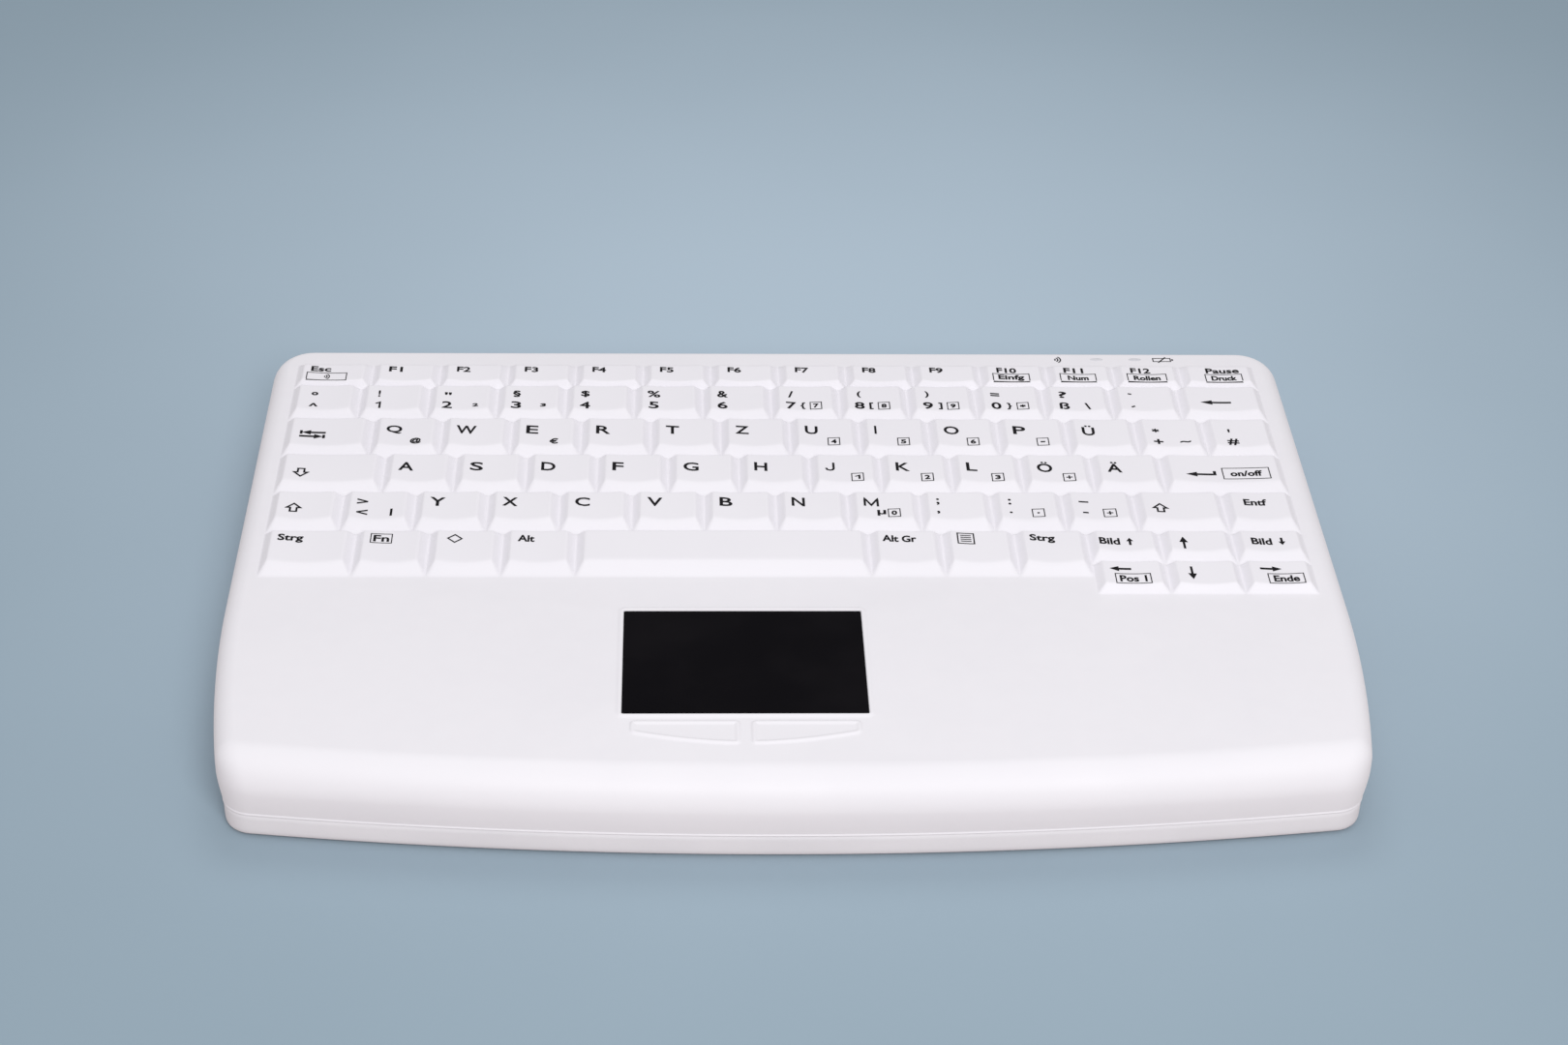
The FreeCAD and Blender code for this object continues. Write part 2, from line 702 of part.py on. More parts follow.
# The battery bay, as seen from above; the screws beside the touchpad stand midway between the two.
BAY_LENGTH = "(sizes.cell_length + sizes.cell_tip_length + 2 * sizes.contact_thickness + sizes.spring_length)"
BAY_DEPTH = "(sizes.cell_spacing + 2 * sizes.cell_radius + 2 * sizes.seat_gap)"
BAY_LEFT = f"(sizes.bay_side - {SIDE})"
BAY_FRONT = f"({MAIN_FRONT} - sizes.bay_setback - {BAY_DEPTH})"
BAY_Y = f"({BAY_FRONT} + {BAY_DEPTH} / 2)"
INNER_SCREW_X = f"(({BAY_LEFT} + {BAY_LENGTH} + sizes.pad_x - sizes.pad_window_width / 2) / 2)"

SCREWS = [
    (f"({side} * {x})", y)
    for x, y in (
        (f"({SIDE} - sizes.corner_screw_side)", f"(sizes.corner_screw_front - {REAR})"),
        (INNER_SCREW_X, f"(sizes.front_screw_front - {REAR})"),
        (INNER_SCREW_X, f"({PAD_Y} + sizes.pad_window_depth / 2 - sizes.boss_radius)"),
    )
    for side in (-1, 1)
]
HEAD_SEAT = f"({BASE_BOTTOM} + sizes.screw_recess + sizes.screw_head_height)"
BOSS_TOP = f"({FLOOR_TOP} + sizes.boss_height)"
SCREW_TIP = f"({HEAD_SEAT} + sizes.screw_length)"


def build_upper_housing(outer, inner):
    """The hard shell under the skin, with its deck openings and screw bosses."""
    shell = cut("housing_shell", outer, [inner])
    overlap = "(sizes.housing_wall / 2)"
    bosses = [
        bar(
            f"deck_boss_{index}", x, y, BOSS_TOP, "sizes.deck_boss_radius",
            f"{DECK_UNDERSIDE} + {overlap} - {BOSS_TOP}",
        )
        for index, (x, y) in enumerate(SCREWS)
    ]
    blank = fuse("housing_blank", [shell] + bosses)
    pilots = [
        bar(
            f"pilot_hole_{index}", x, y, BOSS_TOP, "sizes.screw_radius + sizes.pilot_gap",
            f"{SCREW_TIP} + sizes.moving_gap - {BOSS_TOP}",
        )
        for index, (x, y) in enumerate(SCREWS)
    ]
    key_field = body("deck_key_opening")
    profile = sketch(key_field, "deck_key_outline", level=DECK_UNDERSIDE)
    right = f"({FIELD_LEFT} + {FIELD_WIDTH})"
    step = f"({right} - {ARROW_UNITS} * sizes.key_pitch)"
    corners = [
        (FIELD_LEFT, FIELD_REAR), (FIELD_LEFT, MAIN_FRONT), (step, MAIN_FRONT),
        (step, ARROW_FRONT), (right, ARROW_FRONT), (right, FIELD_REAR),
    ]
    polygon(profile, corners)
    key_field.Tip = pad(key_field, "deck_key_block", profile, "sizes.housing_wall")
    openings = pilots + [
        key_field,
        pad_block("deck_pad_opening", "(sizes.pad_border + sizes.seat_gap)", DECK_UNDERSIDE,
                  "sizes.housing_wall"),
    ]
    for word, side in (("left", -1), ("right", 1)):
        name = f"deck_button_opening_{word}"
        openings.append(button_body(name, side, "sizes.moving_gap", DECK_UNDERSIDE, "sizes.housing_wall"))
    for index, x in enumerate(LIGHTS):
        name = f"light_opening_{index}"
        openings.append(light_block(name, x, "sizes.seat_gap / 2", DECK_UNDERSIDE, DECK_TOP))
    for index, x in enumerate(HOOKS):
        openings.append(hook_nose(f"hook_pocket_{index}", x, "sizes.seat_gap"))
    node("upper_housing", cut("upper_housing", blank, openings))


# Status lights

LAST_LIGHT = f"({FIELD_LEFT} + {FIELD_WIDTH} - sizes.light_inset)"
LIGHTS = [f"({LAST_LIGHT} - sizes.light_spacing)", LAST_LIGHT]
LIGHT_FRONT = f"({FIELD_REAR} + sizes.moving_gap)"


def light_block(name, x, margin, bottom, top):
    return box(
        name,
        f"{x} - sizes.light_width / 2 - {margin}",
        f"{LIGHT_FRONT} - {margin}",
        bottom,
        f"sizes.light_width + 2 * {margin}",
        f"sizes.light_depth + 2 * {margin}",
        f"{top} - {bottom}",
    )


def build_status_lights():
    """Clear bars that carry the light of two diodes from the board up to the skin."""
    pipes = [light_block(f"light_pipe_{i}", x, "0", BOARD_TOP, DECK_TOP) for i, x in enumerate(LIGHTS)]
    node("status_light_pipes", group("status_light_pipes", pipes))


# Key module below the keys

# Stakes stand on the lines between the rows, clear of the domes: share of the width, row line.
STAKES = [
    (share, line)
    for share in (0.04, 0.35, 0.65, 0.96)
    for line in (LETTERS_REAR, LETTERS_FRONT)
]


def stake_bars(name, margin, bottom, top):
    """The stakes, or the holes that clear them by a margin."""
    side = f"(sizes.stake_width + 2 * {margin})"
    stakes = []
    for index, (share, line) in enumerate(STAKES):
        x = f"({FIELD_LEFT} + {share} * {FIELD_WIDTH})"
        stakes.append(square(f"{name}_{index}", x, line, bottom, side, f"{top} - {bottom}"))
    return stakes


def module_sheet(name, margin, bottom, thickness):
    """A flat sheet under the whole key field, inside the rim of the guide plate."""
    return box(
        name, f"{FIELD_LEFT} + {margin}", f"{FIELD_FRONT} + {margin}", bottom,
        f"{FIELD_WIDTH} - 2 * {margin}", f"{FIELD_DEPTH} - 2 * {margin}", thickness,
    )


def build_guide_plate():
    """The plate that guides the stems, with a rim that stands on the membrane."""
    block = module_sheet("guide_block", "0", MAT_BOTTOM, f"{GUIDE_TOP} - {MAT_BOTTOM}")
    inside = module_sheet("guide_inside", "sizes.guide_rim", MAT_BOTTOM, f"{GUIDE_BOTTOM} - {MAT_BOTTOM}")
    tray = cut("guide_tray", block, [inside])
    staked = fuse("guide_staked", [tray] + stake_bars("stake", "0", PLATE_BOTTOM, GUIDE_BOTTOM))
    hole = "(sizes.stem_width + 2 * sizes.moving_gap)"
    holes = [
        square(f"stem_hole_{key}_{index}", x, y, GUIDE_BOTTOM, hole, "sizes.guide_thickness")
        for key, _, *cell in CELLS
        for index, (x, y) in enumerate(stem_centres(*cell))
    ]
    node("key_guide_plate", cut("key_guide_plate", staked, holes))


def build_dome_mat():
    """One rubber mat with a dome under each key's middle stem."""
    margin = "(sizes.guide_rim + sizes.seat_gap)"
    mat = module_sheet("mat_sheet", margin, MAT_BOTTOM, "sizes.mat_thickness")
    run = "((sizes.dome_base - sizes.dome_crown) / 2)"
    domes = []
    for key, _, left, front, width, depth in CELLS:
        x = f"{left} + {width} / 2 - sizes.dome_base / 2"
        y = f"{front} + {depth} / 2 - sizes.dome_base / 2"
        domes.append(frustum(f"dome_{key}", x, y, MAT_TOP, "sizes.dome_base", "sizes.dome_base",
                             f"({DOME_TOP} - {MAT_TOP})", [run] * 4))
    holes = stake_bars("mat_hole", "sizes.seat_gap", MAT_BOTTOM, MAT_TOP)
    node("dome_mat", cut("dome_mat", fuse("mat_with_domes", [mat] + domes), holes))


def build_sheets():
    """The contact membrane and the steel plate that backs it."""
    for name, bottom, thickness in (
        ("contact_membrane", MEMBRANE_BOTTOM, "sizes.membrane_thickness"),
        ("backing_plate", PLATE_BOTTOM, "sizes.plate_thickness"),
    ):
        blank = module_sheet(f"{name}_blank", "0", bottom, thickness)
        holes = stake_bars(f"{name}_hole", "sizes.seat_gap", bottom, f"({bottom} + {thickness})")
        node(name, cut(name, blank, holes))


# Touchpad and its buttons

PAD_TOP = DECK_TOP
PAD_BOTTOM = f"({PAD_TOP} - sizes.pad_thickness)"
PAD_BOARD_BOTTOM = f"({PAD_BOTTOM} - sizes.board_thickness)"
BUTTON_TOP = f"({PALM} + sizes.button_raise)"
BUTTON_BOTTOM = f"({BUTTON_TOP} - sizes.button_plate)"
PLUNGER_BOTTOM = f"({BUTTON_BOTTOM} - sizes.plunger_length)"
SWITCH_BOTTOM = f"({PLUNGER_BOTTOM} - sizes.button_travel - sizes.switch_height)"
BUTTON_BOARD_BOTTOM = f"({SWITCH_BOTTOM} - sizes.board_thickness)"
BUTTON_MIDDLE = f"({BUTTON_REAR} - sizes.button_outer_depth / 2 - sizes.moving_gap)"
PAD_SOCKET_BOTTOM = f"({PAD_BOARD_BOTTOM} - sizes.plug_height)"
PAD_RIGHT = "(sizes.pad_x + sizes.pad_window_width / 2 + sizes.pad_border)"
FLEX_LEFT = f"({PAD_RIGHT} - sizes.flex_inset - sizes.flex_width)"
FLEX_RISE = f"({FIELD_FRONT} - sizes.flex_drop)"


def button_x(side):
    return f"(sizes.pad_x + {side} * (sizes.button_spacing + sizes.button_width) / 2)"


def build_touchpad():
    surface = pad_block("touchpad_surface", "sizes.pad_border", PAD_BOTTOM, "sizes.pad_thickness")
    node("touchpad_surface", surface)
    board = pad_block("pad_board_blank", "sizes.pad_border", PAD_BOARD_BOTTOM, "sizes.board_thickness")
    chip = square("pad_chip", "sizes.pad_x", PAD_Y, f"{PAD_BOARD_BOTTOM} - sizes.plug_height",
                  "sizes.switch_width", "sizes.plug_height")
    socket = box("pad_socket", FLEX_LEFT, f"{FLEX_RISE} - sizes.flex_overlap", PAD_SOCKET_BOTTOM,
                 "sizes.flex_width", "sizes.flex_overlap / 2", "sizes.plug_height")
    node("touchpad_board", fuse("touchpad_board", [board, chip, socket]))


def build_pad_buttons():
    for word, side in (("left", -1), ("right", 1)):
        plate = button_body(f"button_plate_{word}", side, "0", BUTTON_BOTTOM, "sizes.button_plate")
        plunger = square(f"plunger_{word}", button_x(side), BUTTON_MIDDLE, PLUNGER_BOTTOM,
                         "sizes.plunger_width", "sizes.plunger_length")
        node(f"pad_button_{word}", fuse(f"pad_button_{word}", [plate, plunger]))


def build_button_board():
    """A small board with a tactile switch under each pad button."""
    width = "(sizes.button_spacing + sizes.button_width + 2 * sizes.switch_width)"
    depth = "(2 * sizes.switch_width)"
    board = box("button_board_blank", f"sizes.pad_x - {width} / 2", f"{BUTTON_MIDDLE} - {depth} / 2",
                BUTTON_BOARD_BOTTOM, width, depth, "sizes.board_thickness")
    switches = []
    for word, side in (("left", -1), ("right", 1)):
        x = button_x(side)
        switches.append(square(f"switch_{word}", x, BUTTON_MIDDLE, SWITCH_BOTTOM, "sizes.switch_width",
                               "sizes.switch_height - sizes.plunger_length / 4"))
        switches.append(square(f"switch_cap_{word}", x, BUTTON_MIDDLE, SWITCH_BOTTOM,
                               "sizes.plunger_width", "sizes.switch_height"))
    node("button_board", fuse("button_board", [board] + switches))


# Controller board and flat cables

BOARD_REAR = f"({LIGHT_FRONT} + sizes.light_depth)"
BOARD_FRONT = f"({BOARD_REAR} - sizes.board_depth)"
BOARD_LEFT = f"({FLEX_LEFT} - sizes.board_margin)"
BOARD_RIGHT = f"({LAST_LIGHT} + sizes.light_margin)"
BOARD_WIDTH = f"({BOARD_RIGHT} - {BOARD_LEFT})"
BOARD_X = f"(({BOARD_RIGHT} + {BOARD_LEFT}) / 2)"

# The rear hooks stand in the free part of the rear wall, left of the controller board.
HOOKS = ["(-sizes.hook_x)", f"({BOARD_LEFT} - sizes.board_margin - sizes.hook_width / 2)"]


def build_controller_board():
    """The main board: processor, radio module and the sockets of the two flat cables."""
    board = box("controller_blank", BOARD_LEFT, BOARD_FRONT, BOARD_BOTTOM, BOARD_WIDTH,
                "sizes.board_depth", "sizes.board_thickness")
    under = f"({BOARD_BOTTOM} - sizes.plug_height)"
    chip_y = f"{BOARD_FRONT} + sizes.board_depth / 2"
    processor = square("processor", BOARD_X, chip_y, under, "sizes.chip_width", "sizes.plug_height")
    radio = box("radio_module", f"{BOARD_X} + sizes.board_depth / 2", chip_y, under,
                "sizes.radio_width", "sizes.chip_width", "sizes.plug_height")
    node("controller_board", fuse("controller_board", [board, processor, radio]))


def build_membrane_tail():
    """The flat tail that leaves the membrane at the rear edge and folds down onto the board."""
    owner = body("membrane_tail")
    profile = sketch(owner, "tail_profile", "YZ_Plane", f"{BOARD_X} - sizes.tail_width / 2")
    rear = f"({FIELD_REAR} + sizes.moving_gap + sizes.tail_thickness)"
    inner = f"({FIELD_REAR} + sizes.moving_gap)"
    under = f"({BOARD_TOP} + sizes.tail_thickness)"
    start = f"({FIELD_REAR} - sizes.board_drop)"
    corners = [
        (start, BOARD_TOP), (rear, BOARD_TOP), (rear, MAT_BOTTOM), (FIELD_REAR, MAT_BOTTOM),
        (FIELD_REAR, f"({MAT_BOTTOM} - sizes.tail_thickness)"),
        (inner, f"({MAT_BOTTOM} - sizes.tail_thickness)"), (inner, under), (start, under),
    ]
    polygon(profile, corners)
    owner.Tip = pad(owner, "tail_strip", profile, "sizes.tail_width")
    node("membrane_tail", owner)


def build_touchpad_cable():
    """The flat cable from the touchpad, down in front of the key module and under it to the board."""
    owner = body("touchpad_cable")
    profile = sketch(owner, "cable_profile", "YZ_Plane", FLEX_LEFT)
    low = BOARD_TOP
    low_top = f"({BOARD_TOP} + sizes.tail_thickness)"
    high = f"({PAD_SOCKET_BOTTOM} - sizes.tail_thickness)"
    front = f"({FLEX_RISE} - sizes.flex_overlap)"
    rise_front = f"({FLEX_RISE} - sizes.tail_thickness)"
    rear = f"({BOARD_FRONT} + sizes.flex_overlap)"
    corners = [
        (front, high), (rise_front, high), (rise_front, low), (rear, low), (rear, low_top),
        (FLEX_RISE, low_top), (FLEX_RISE, PAD_SOCKET_BOTTOM), (front, PAD_SOCKET_BOTTOM),
    ]
    polygon(profile, corners)
    owner.Tip = pad(owner, "cable_strip", profile, "sizes.flex_width")
    node("touchpad_cable", owner)


# Battery bay, cells, contacts and door

CELL_BOTTOM = f"({FLOOR_TOP} + sizes.seat_gap)"
CELL_AXIS = f"({CELL_BOTTOM} + sizes.cell_radius)"
BAY_ROOF = f"({CELL_AXIS} + sizes.cell_radius + sizes.seat_gap)"
DOOR_TOP = f"({BASE_BOTTOM} + sizes.door_thickness)"
SEAL_TOP = f"({DOOR_TOP} + sizes.seal_thickness)"


def bay_block(name, margin, bottom, top):
    return box(
        name, f"{BAY_LEFT} - {margin}", f"{BAY_FRONT} - {margin}", bottom,
        f"{BAY_LENGTH} + 2 * {margin}", f"{BAY_DEPTH} + 2 * {margin}", f"{top} - {bottom}",
    )


def battery_cell(name, direction):
    """A round cell that lies along X, its tip towards the given side."""
    spring_room = "(sizes.contact_thickness + sizes.spring_length)"
    start = f"({BAY_LEFT} + {spring_room})"
    if direction < 0:
        start = f"({BAY_LEFT} + {BAY_LENGTH} - {spring_room})"
    y = f"({BAY_Y} + {direction} * sizes.cell_spacing / 2)"
    can = bar(f"{name}_can", start, y, CELL_AXIS, "sizes.cell_radius", "sizes.cell_length")
    tip_start = f"({start} + {direction} * sizes.cell_length)"
    tip = bar(f"{name}_tip", tip_start, y, CELL_AXIS, "sizes.cell_tip_radius", "sizes.cell_tip_length")
    for piece in (can, tip):
        piece.Placement.Rotation = Rotation(Vector(0, 1, 0), 90 * direction)
    return fuse(name, [can, tip])


def build_battery():
    cells = [battery_cell("cell_rear", 1), battery_cell("cell_front", -1)]
    node("battery_cells", group("battery_cells", cells))
    contacts = []
    ends = ((BAY_LEFT, 1), (f"({BAY_LEFT} + {BAY_LENGTH} - sizes.contact_thickness)", -1))
    for end, (x, inward) in enumerate(ends):
        for direction in (1, -1):
            name = f"contact_{end}_{'rear' if direction > 0 else 'front'}"
            y = f"({BAY_Y} + {direction} * sizes.cell_spacing / 2)"
            half = "sizes.contact_width / 2"
            plate = box(f"{name}_plate", x, f"{y} - {half}", f"{CELL_AXIS} - {half}",
                        "sizes.contact_thickness", "sizes.contact_width", "sizes.contact_width")
            if inward == direction:
                foot = f"({x} + sizes.contact_thickness)" if inward > 0 else x
                spring = bar(f"{name}_spring", foot, y, CELL_AXIS, "sizes.contact_width / 3",
                             "sizes.spring_length")
                spring.Placement.Rotation = Rotation(Vector(0, 1, 0), 90 * inward)
                plate = fuse(f"{name}_solid", [plate, spring])
            contacts.append(plate)
    node("battery_contacts", group("battery_contacts", contacts))


DOOR_SCREWS = [
    (f"({BAY_LEFT} - sizes.door_margin / 2)", BAY_Y),
    (f"({BAY_LEFT} + {BAY_LENGTH} + sizes.door_margin / 2)", BAY_Y),
]
DOOR_HEAD_TOP = f"({BASE_BOTTOM} + sizes.door_thickness / 2)"
DOOR_SCREW_TIP = f"({FLOOR_TOP} + sizes.boss_height * 0.75)"


def build_battery_door():
    """The screwed door: a thin plate in a recess of the base and a step that fills the opening."""
    plate = bay_block("door_plate", "(sizes.door_margin - sizes.seat_gap)", BASE_BOTTOM, DOOR_TOP)
    step = bay_block("door_step", "(-sizes.seat_gap)", DOOR_TOP, FLOOR_TOP)
    holes = []
    for index, (x, y) in enumerate(DOOR_SCREWS):
        holes.append(bar(f"door_head_hole_{index}", x, y, BASE_BOTTOM,
                         "sizes.door_head_radius + sizes.seat_gap", f"{DOOR_HEAD_TOP} - {BASE_BOTTOM}"))
        holes.append(bar(f"door_shank_hole_{index}", x, y, DOOR_HEAD_TOP,
                         "sizes.door_screw_radius + sizes.screw_gap", f"{DOOR_TOP} - {DOOR_HEAD_TOP}"))
    node("battery_door", cut("battery_door", fuse("door_blank", [plate, step]), holes))
    ring = bay_block("seal_outer", "sizes.seal_width", DOOR_TOP, SEAL_TOP)
    node("door_seal", cut("door_seal", ring, [bay_block("seal_inner", "0", DOOR_TOP, SEAL_TOP)]))


# Base


def build_base():
    """The base: tray, bosses, posts, ribs, battery bay, hooks, recesses and holes."""
    tray = body("base_tray")
    outer = outline_sketch(tray, "base_outline", BASE_BOTTOM, "sizes.tuck + sizes.lip")
    block = pad(tray, "base_block", outer, "sizes.base_height")
    doc.recompute()
    bottom = value(BASE_BOTTOM)
    under = [
        f"Edge{index}"
        for index, edge in enumerate(block.Shape.Edges, 1)
        if all(abs(vertex.Z - bottom) < 0.001 for vertex in edge.Vertexes)
    ]
    bevelled = tray.newObject("PartDesign::Chamfer", "base_edge")
    bevelled.Base = (block, under)
    bind(bevelled, Size="sizes.base_edge")
    inside = outline_sketch(tray, "base_inside", SEAM, "sizes.tuck + sizes.lip + sizes.base_wall")
    hollow = tray.newObject("PartDesign::Pocket", "base_hollow")
    hollow.Profile = inside
    bind(hollow, Length="sizes.base_height - sizes.base_floor")
    tray.Tip = hollow

    solids = [tray, bay_block("bay_outer", "sizes.bay_wall", FLOOR_TOP, f"({BAY_ROOF} + sizes.bay_wall)")]
    holes = [
        bay_block("bay_inner", "0", SEAL_TOP, BAY_ROOF),
        bay_block("door_recess", "sizes.door_margin", BASE_BOTTOM, SEAL_TOP),
    ]
    for index, (x, y) in enumerate(SCREWS):
        solids.append(bar(f"boss_{index}", x, y, FLOOR_TOP, "sizes.boss_radius", "sizes.boss_height"))
        holes.append(bar(f"head_hole_{index}", x, y, BASE_BOTTOM, "sizes.screw_head_radius + sizes.seat_gap",
                         f"{HEAD_SEAT} - {BASE_BOTTOM}"))
        holes.append(bar(f"shank_hole_{index}", x, y, HEAD_SEAT, "sizes.screw_radius + sizes.screw_gap",
                         f"{BOSS_TOP} - {HEAD_SEAT}"))
    for index, (x, y) in enumerate(DOOR_SCREWS):
        solids.append(square(f"door_boss_{index}", x, y, FLOOR_TOP, "sizes.door_margin", "sizes.boss_height"))
        holes.append(bar(f"door_pilot_{index}", x, y, SEAL_TOP, "sizes.door_screw_radius + sizes.pilot_gap",
                         f"{DOOR_SCREW_TIP} + sizes.moving_gap - {SEAL_TOP}"))
    for index, (x, y) in enumerate(FEET):
        holes.append(bar(f"foot_hole_{index}", x, y, BASE_BOTTOM, "sizes.foot_radius + sizes.seat_gap / 2",
                         "sizes.foot_recess", FOOT_FLATS))
    solids += base_supports()
    node("bottom_housing", cut("bottom_housing", fuse("base_solids", solids), holes))


# Ribs under the key module, as shares of its width: the long ones reach the rear, a short one
# stops before the controller board.
LONG_RIBS = (0.06, 0.3, 0.5, 0.94)
SHORT_RIBS = (0.72,)


def support_ribs():
    front = f"({FIELD_FRONT} + sizes.stem_width)"
    ribs = []
    for shares, rear in (
        (LONG_RIBS, f"({FIELD_REAR} - sizes.stem_width)"),
        (SHORT_RIBS, f"({BOARD_FRONT} - sizes.stem_width)"),
    ):
        for share in shares:
            x = f"{FIELD_LEFT} + {share} * {FIELD_WIDTH} - sizes.rib_width / 2"
            ribs.append(box(f"rib_{int(share * 100)}", x, front, FLOOR_TOP, "sizes.rib_width",
                            f"{rear} - {front}", f"{PLATE_BOTTOM} - {FLOOR_TOP}"))
    return ribs


def support_posts():
    """Square posts under the controller board, the touchpad and the button board."""
    board_left = f"({BOARD_LEFT} + sizes.post_width)"
    board_right = f"({BOARD_RIGHT} - sizes.post_width)"
    board_ys = (f"({BOARD_FRONT} + sizes.post_width)", f"({BOARD_REAR} - sizes.post_width)")
    places = [(x, y, BOARD_BOTTOM) for x in (board_left, board_right) for y in board_ys]
    for side in (-1, 1):
        places.append((button_x(side), BUTTON_MIDDLE, BUTTON_BOARD_BOTTOM))
        x = f"(sizes.pad_x + {side} * (sizes.pad_window_width - sizes.post_width) / 2)"
        for end in (-1, 1):
            y = f"({PAD_Y} + {end} * (sizes.pad_window_depth - sizes.post_width) / 2)"
            places.append((x, y, PAD_BOARD_BOTTOM))
    return [
        square(f"post_{index}", x, y, FLOOR_TOP, "sizes.post_width", f"{top} - {FLOOR_TOP}")
        for index, (x, y, top) in enumerate(places)
    ]


def rear_hooks():
    """Upright tongues behind the key module whose noses hold the rear of the upper housing down."""
    hooks = []
    wall = f"({REAR} - sizes.tuck - sizes.lip - sizes.base_wall)"
    for index, x in enumerate(HOOKS):
        left = f"{x} - sizes.hook_width / 2"
        hooks.append(box(f"hook_{index}", left, HOOK_FRONT, FLOOR_TOP, "sizes.hook_width",
                         "sizes.hook_thickness", f"{SEAM} - {FLOOR_TOP} + sizes.hook_reach"))
        hooks.append(box(f"hook_root_{index}", left, HOOK_FRONT, FLOOR_TOP, "sizes.hook_width",
                         f"{wall} + sizes.base_wall / 2 - {HOOK_FRONT}",
                         f"{SEAM} - {FLOOR_TOP} - sizes.seat_gap"))
        hooks.append(hook_nose(f"hook_nose_{index}", x, "0"))
    return hooks


def base_supports():
    return support_ribs() + support_posts() + rear_hooks()


# Fasteners and feet

FEET = [
    (f"({side} * ({SIDE} - sizes.{end}_foot_side))", y)
    for end, y in (
        ("front", f"(sizes.front_foot_front - {REAR})"),
        ("rear", f"({REAR} - sizes.rear_foot_rear)"),
    )
    for side in (-1, 1)
]


def screw(name, x, y, head_bottom, seat, tip, head_radius, radius):
    """A screw that points up: a flat head and a shank."""
    head = bar(f"{name}_head", x, y, head_bottom, head_radius, f"{seat} - {head_bottom}")
    shank = bar(f"{name}_shank", x, y, seat, radius, f"{tip} - {seat}")
    return fuse(name, [head, shank])


def build_fasteners():
    housing = [
        screw(f"housing_screw_{index}", x, y, f"({BASE_BOTTOM} + sizes.screw_recess)", HEAD_SEAT, SCREW_TIP,
              "sizes.screw_head_radius", "sizes.screw_radius")
        for index, (x, y) in enumerate(SCREWS)
    ]
    node("housing_screws", group("housing_screws", housing))
    door = [
        screw(f"door_screw_{index}", x, y, BASE_BOTTOM, DOOR_HEAD_TOP, DOOR_SCREW_TIP,
              "sizes.door_head_radius", "sizes.door_screw_radius")
        for index, (x, y) in enumerate(DOOR_SCREWS)
    ]
    node("door_screws", group("door_screws", door))


def build_feet():
    height = "sizes.foot_height + sizes.foot_recess"
    feet = [
        bar(f"foot_{index}", x, y, "0", "sizes.foot_radius", height, FOOT_FLATS)
        for index, (x, y) in enumerate(FEET)
    ]
    node("rubber_feet", group("rubber_feet", feet))


# Build, check and write


def build():
    skin_outside = crowned_form("skin_outside", "0", OUTSIDE_STEPS)
    under_skin = crowned_form("under_skin", "sizes.skin_thickness", HIDDEN_STEPS)
    housing_inside = crowned_form(
        "housing_inside", "(sizes.skin_thickness + sizes.housing_wall)", INSIDE_STEPS
    )
    build_cover_skin(skin_outside, under_skin)
    build_upper_housing(under_skin, housing_inside)
    build_keys()
    build_guide_plate()
    build_dome_mat()
    build_sheets()
    build_touchpad()
    build_pad_buttons()
    build_button_board()
    build_controller_board()
    build_membrane_tail()
    build_touchpad_cable()
    build_status_lights()
    build_battery()
    build_battery_door()
    build_base()
    build_fasteners()
    build_feet()


def check():
    """Stops if an object failed or a piece has no sound solid."""
    for item in doc.Objects:
        if {"Invalid", "Error"} & set(item.State):
            raise RuntimeError(f"{item.Label} failed: {item.State}")
    for name, piece in nodes.items():
        shape = piece.Shape
        if shape.isNull() or not shape.isValid() or not shape.Solids:
            raise RuntimeError(f"{name} has no valid solid")


def export():
    os.makedirs("parts", exist_ok=True)
    for name, piece in nodes.items():
        piece.Shape.exportStep(f"parts/{name}.step")


build()
doc.recompute()
check()
export()
print(len(nodes), "nodes,", sum(len(piece.Shape.Solids) for piece in nodes.values()), "solids")
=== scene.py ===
# %% [markdown]
# # A wipeable compact keyboard
# The real thing is a hard plastic keyboard under one soft silicone skin, so that it can be wiped
# clean. The skin wraps the housing, forms the key caps and leaves one window for the touchpad.
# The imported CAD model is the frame: it says where every piece is and how it moves. This script
# adds the soft forms and the finishes round it, in the same place and at the same size.

# %% Load the frame
import json
from math import atan2, ceil, cos, hypot, pi, radians, sin, sqrt

import bmesh
import bpy
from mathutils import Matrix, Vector
from mathutils.geometry import delaunay_2d_cdt

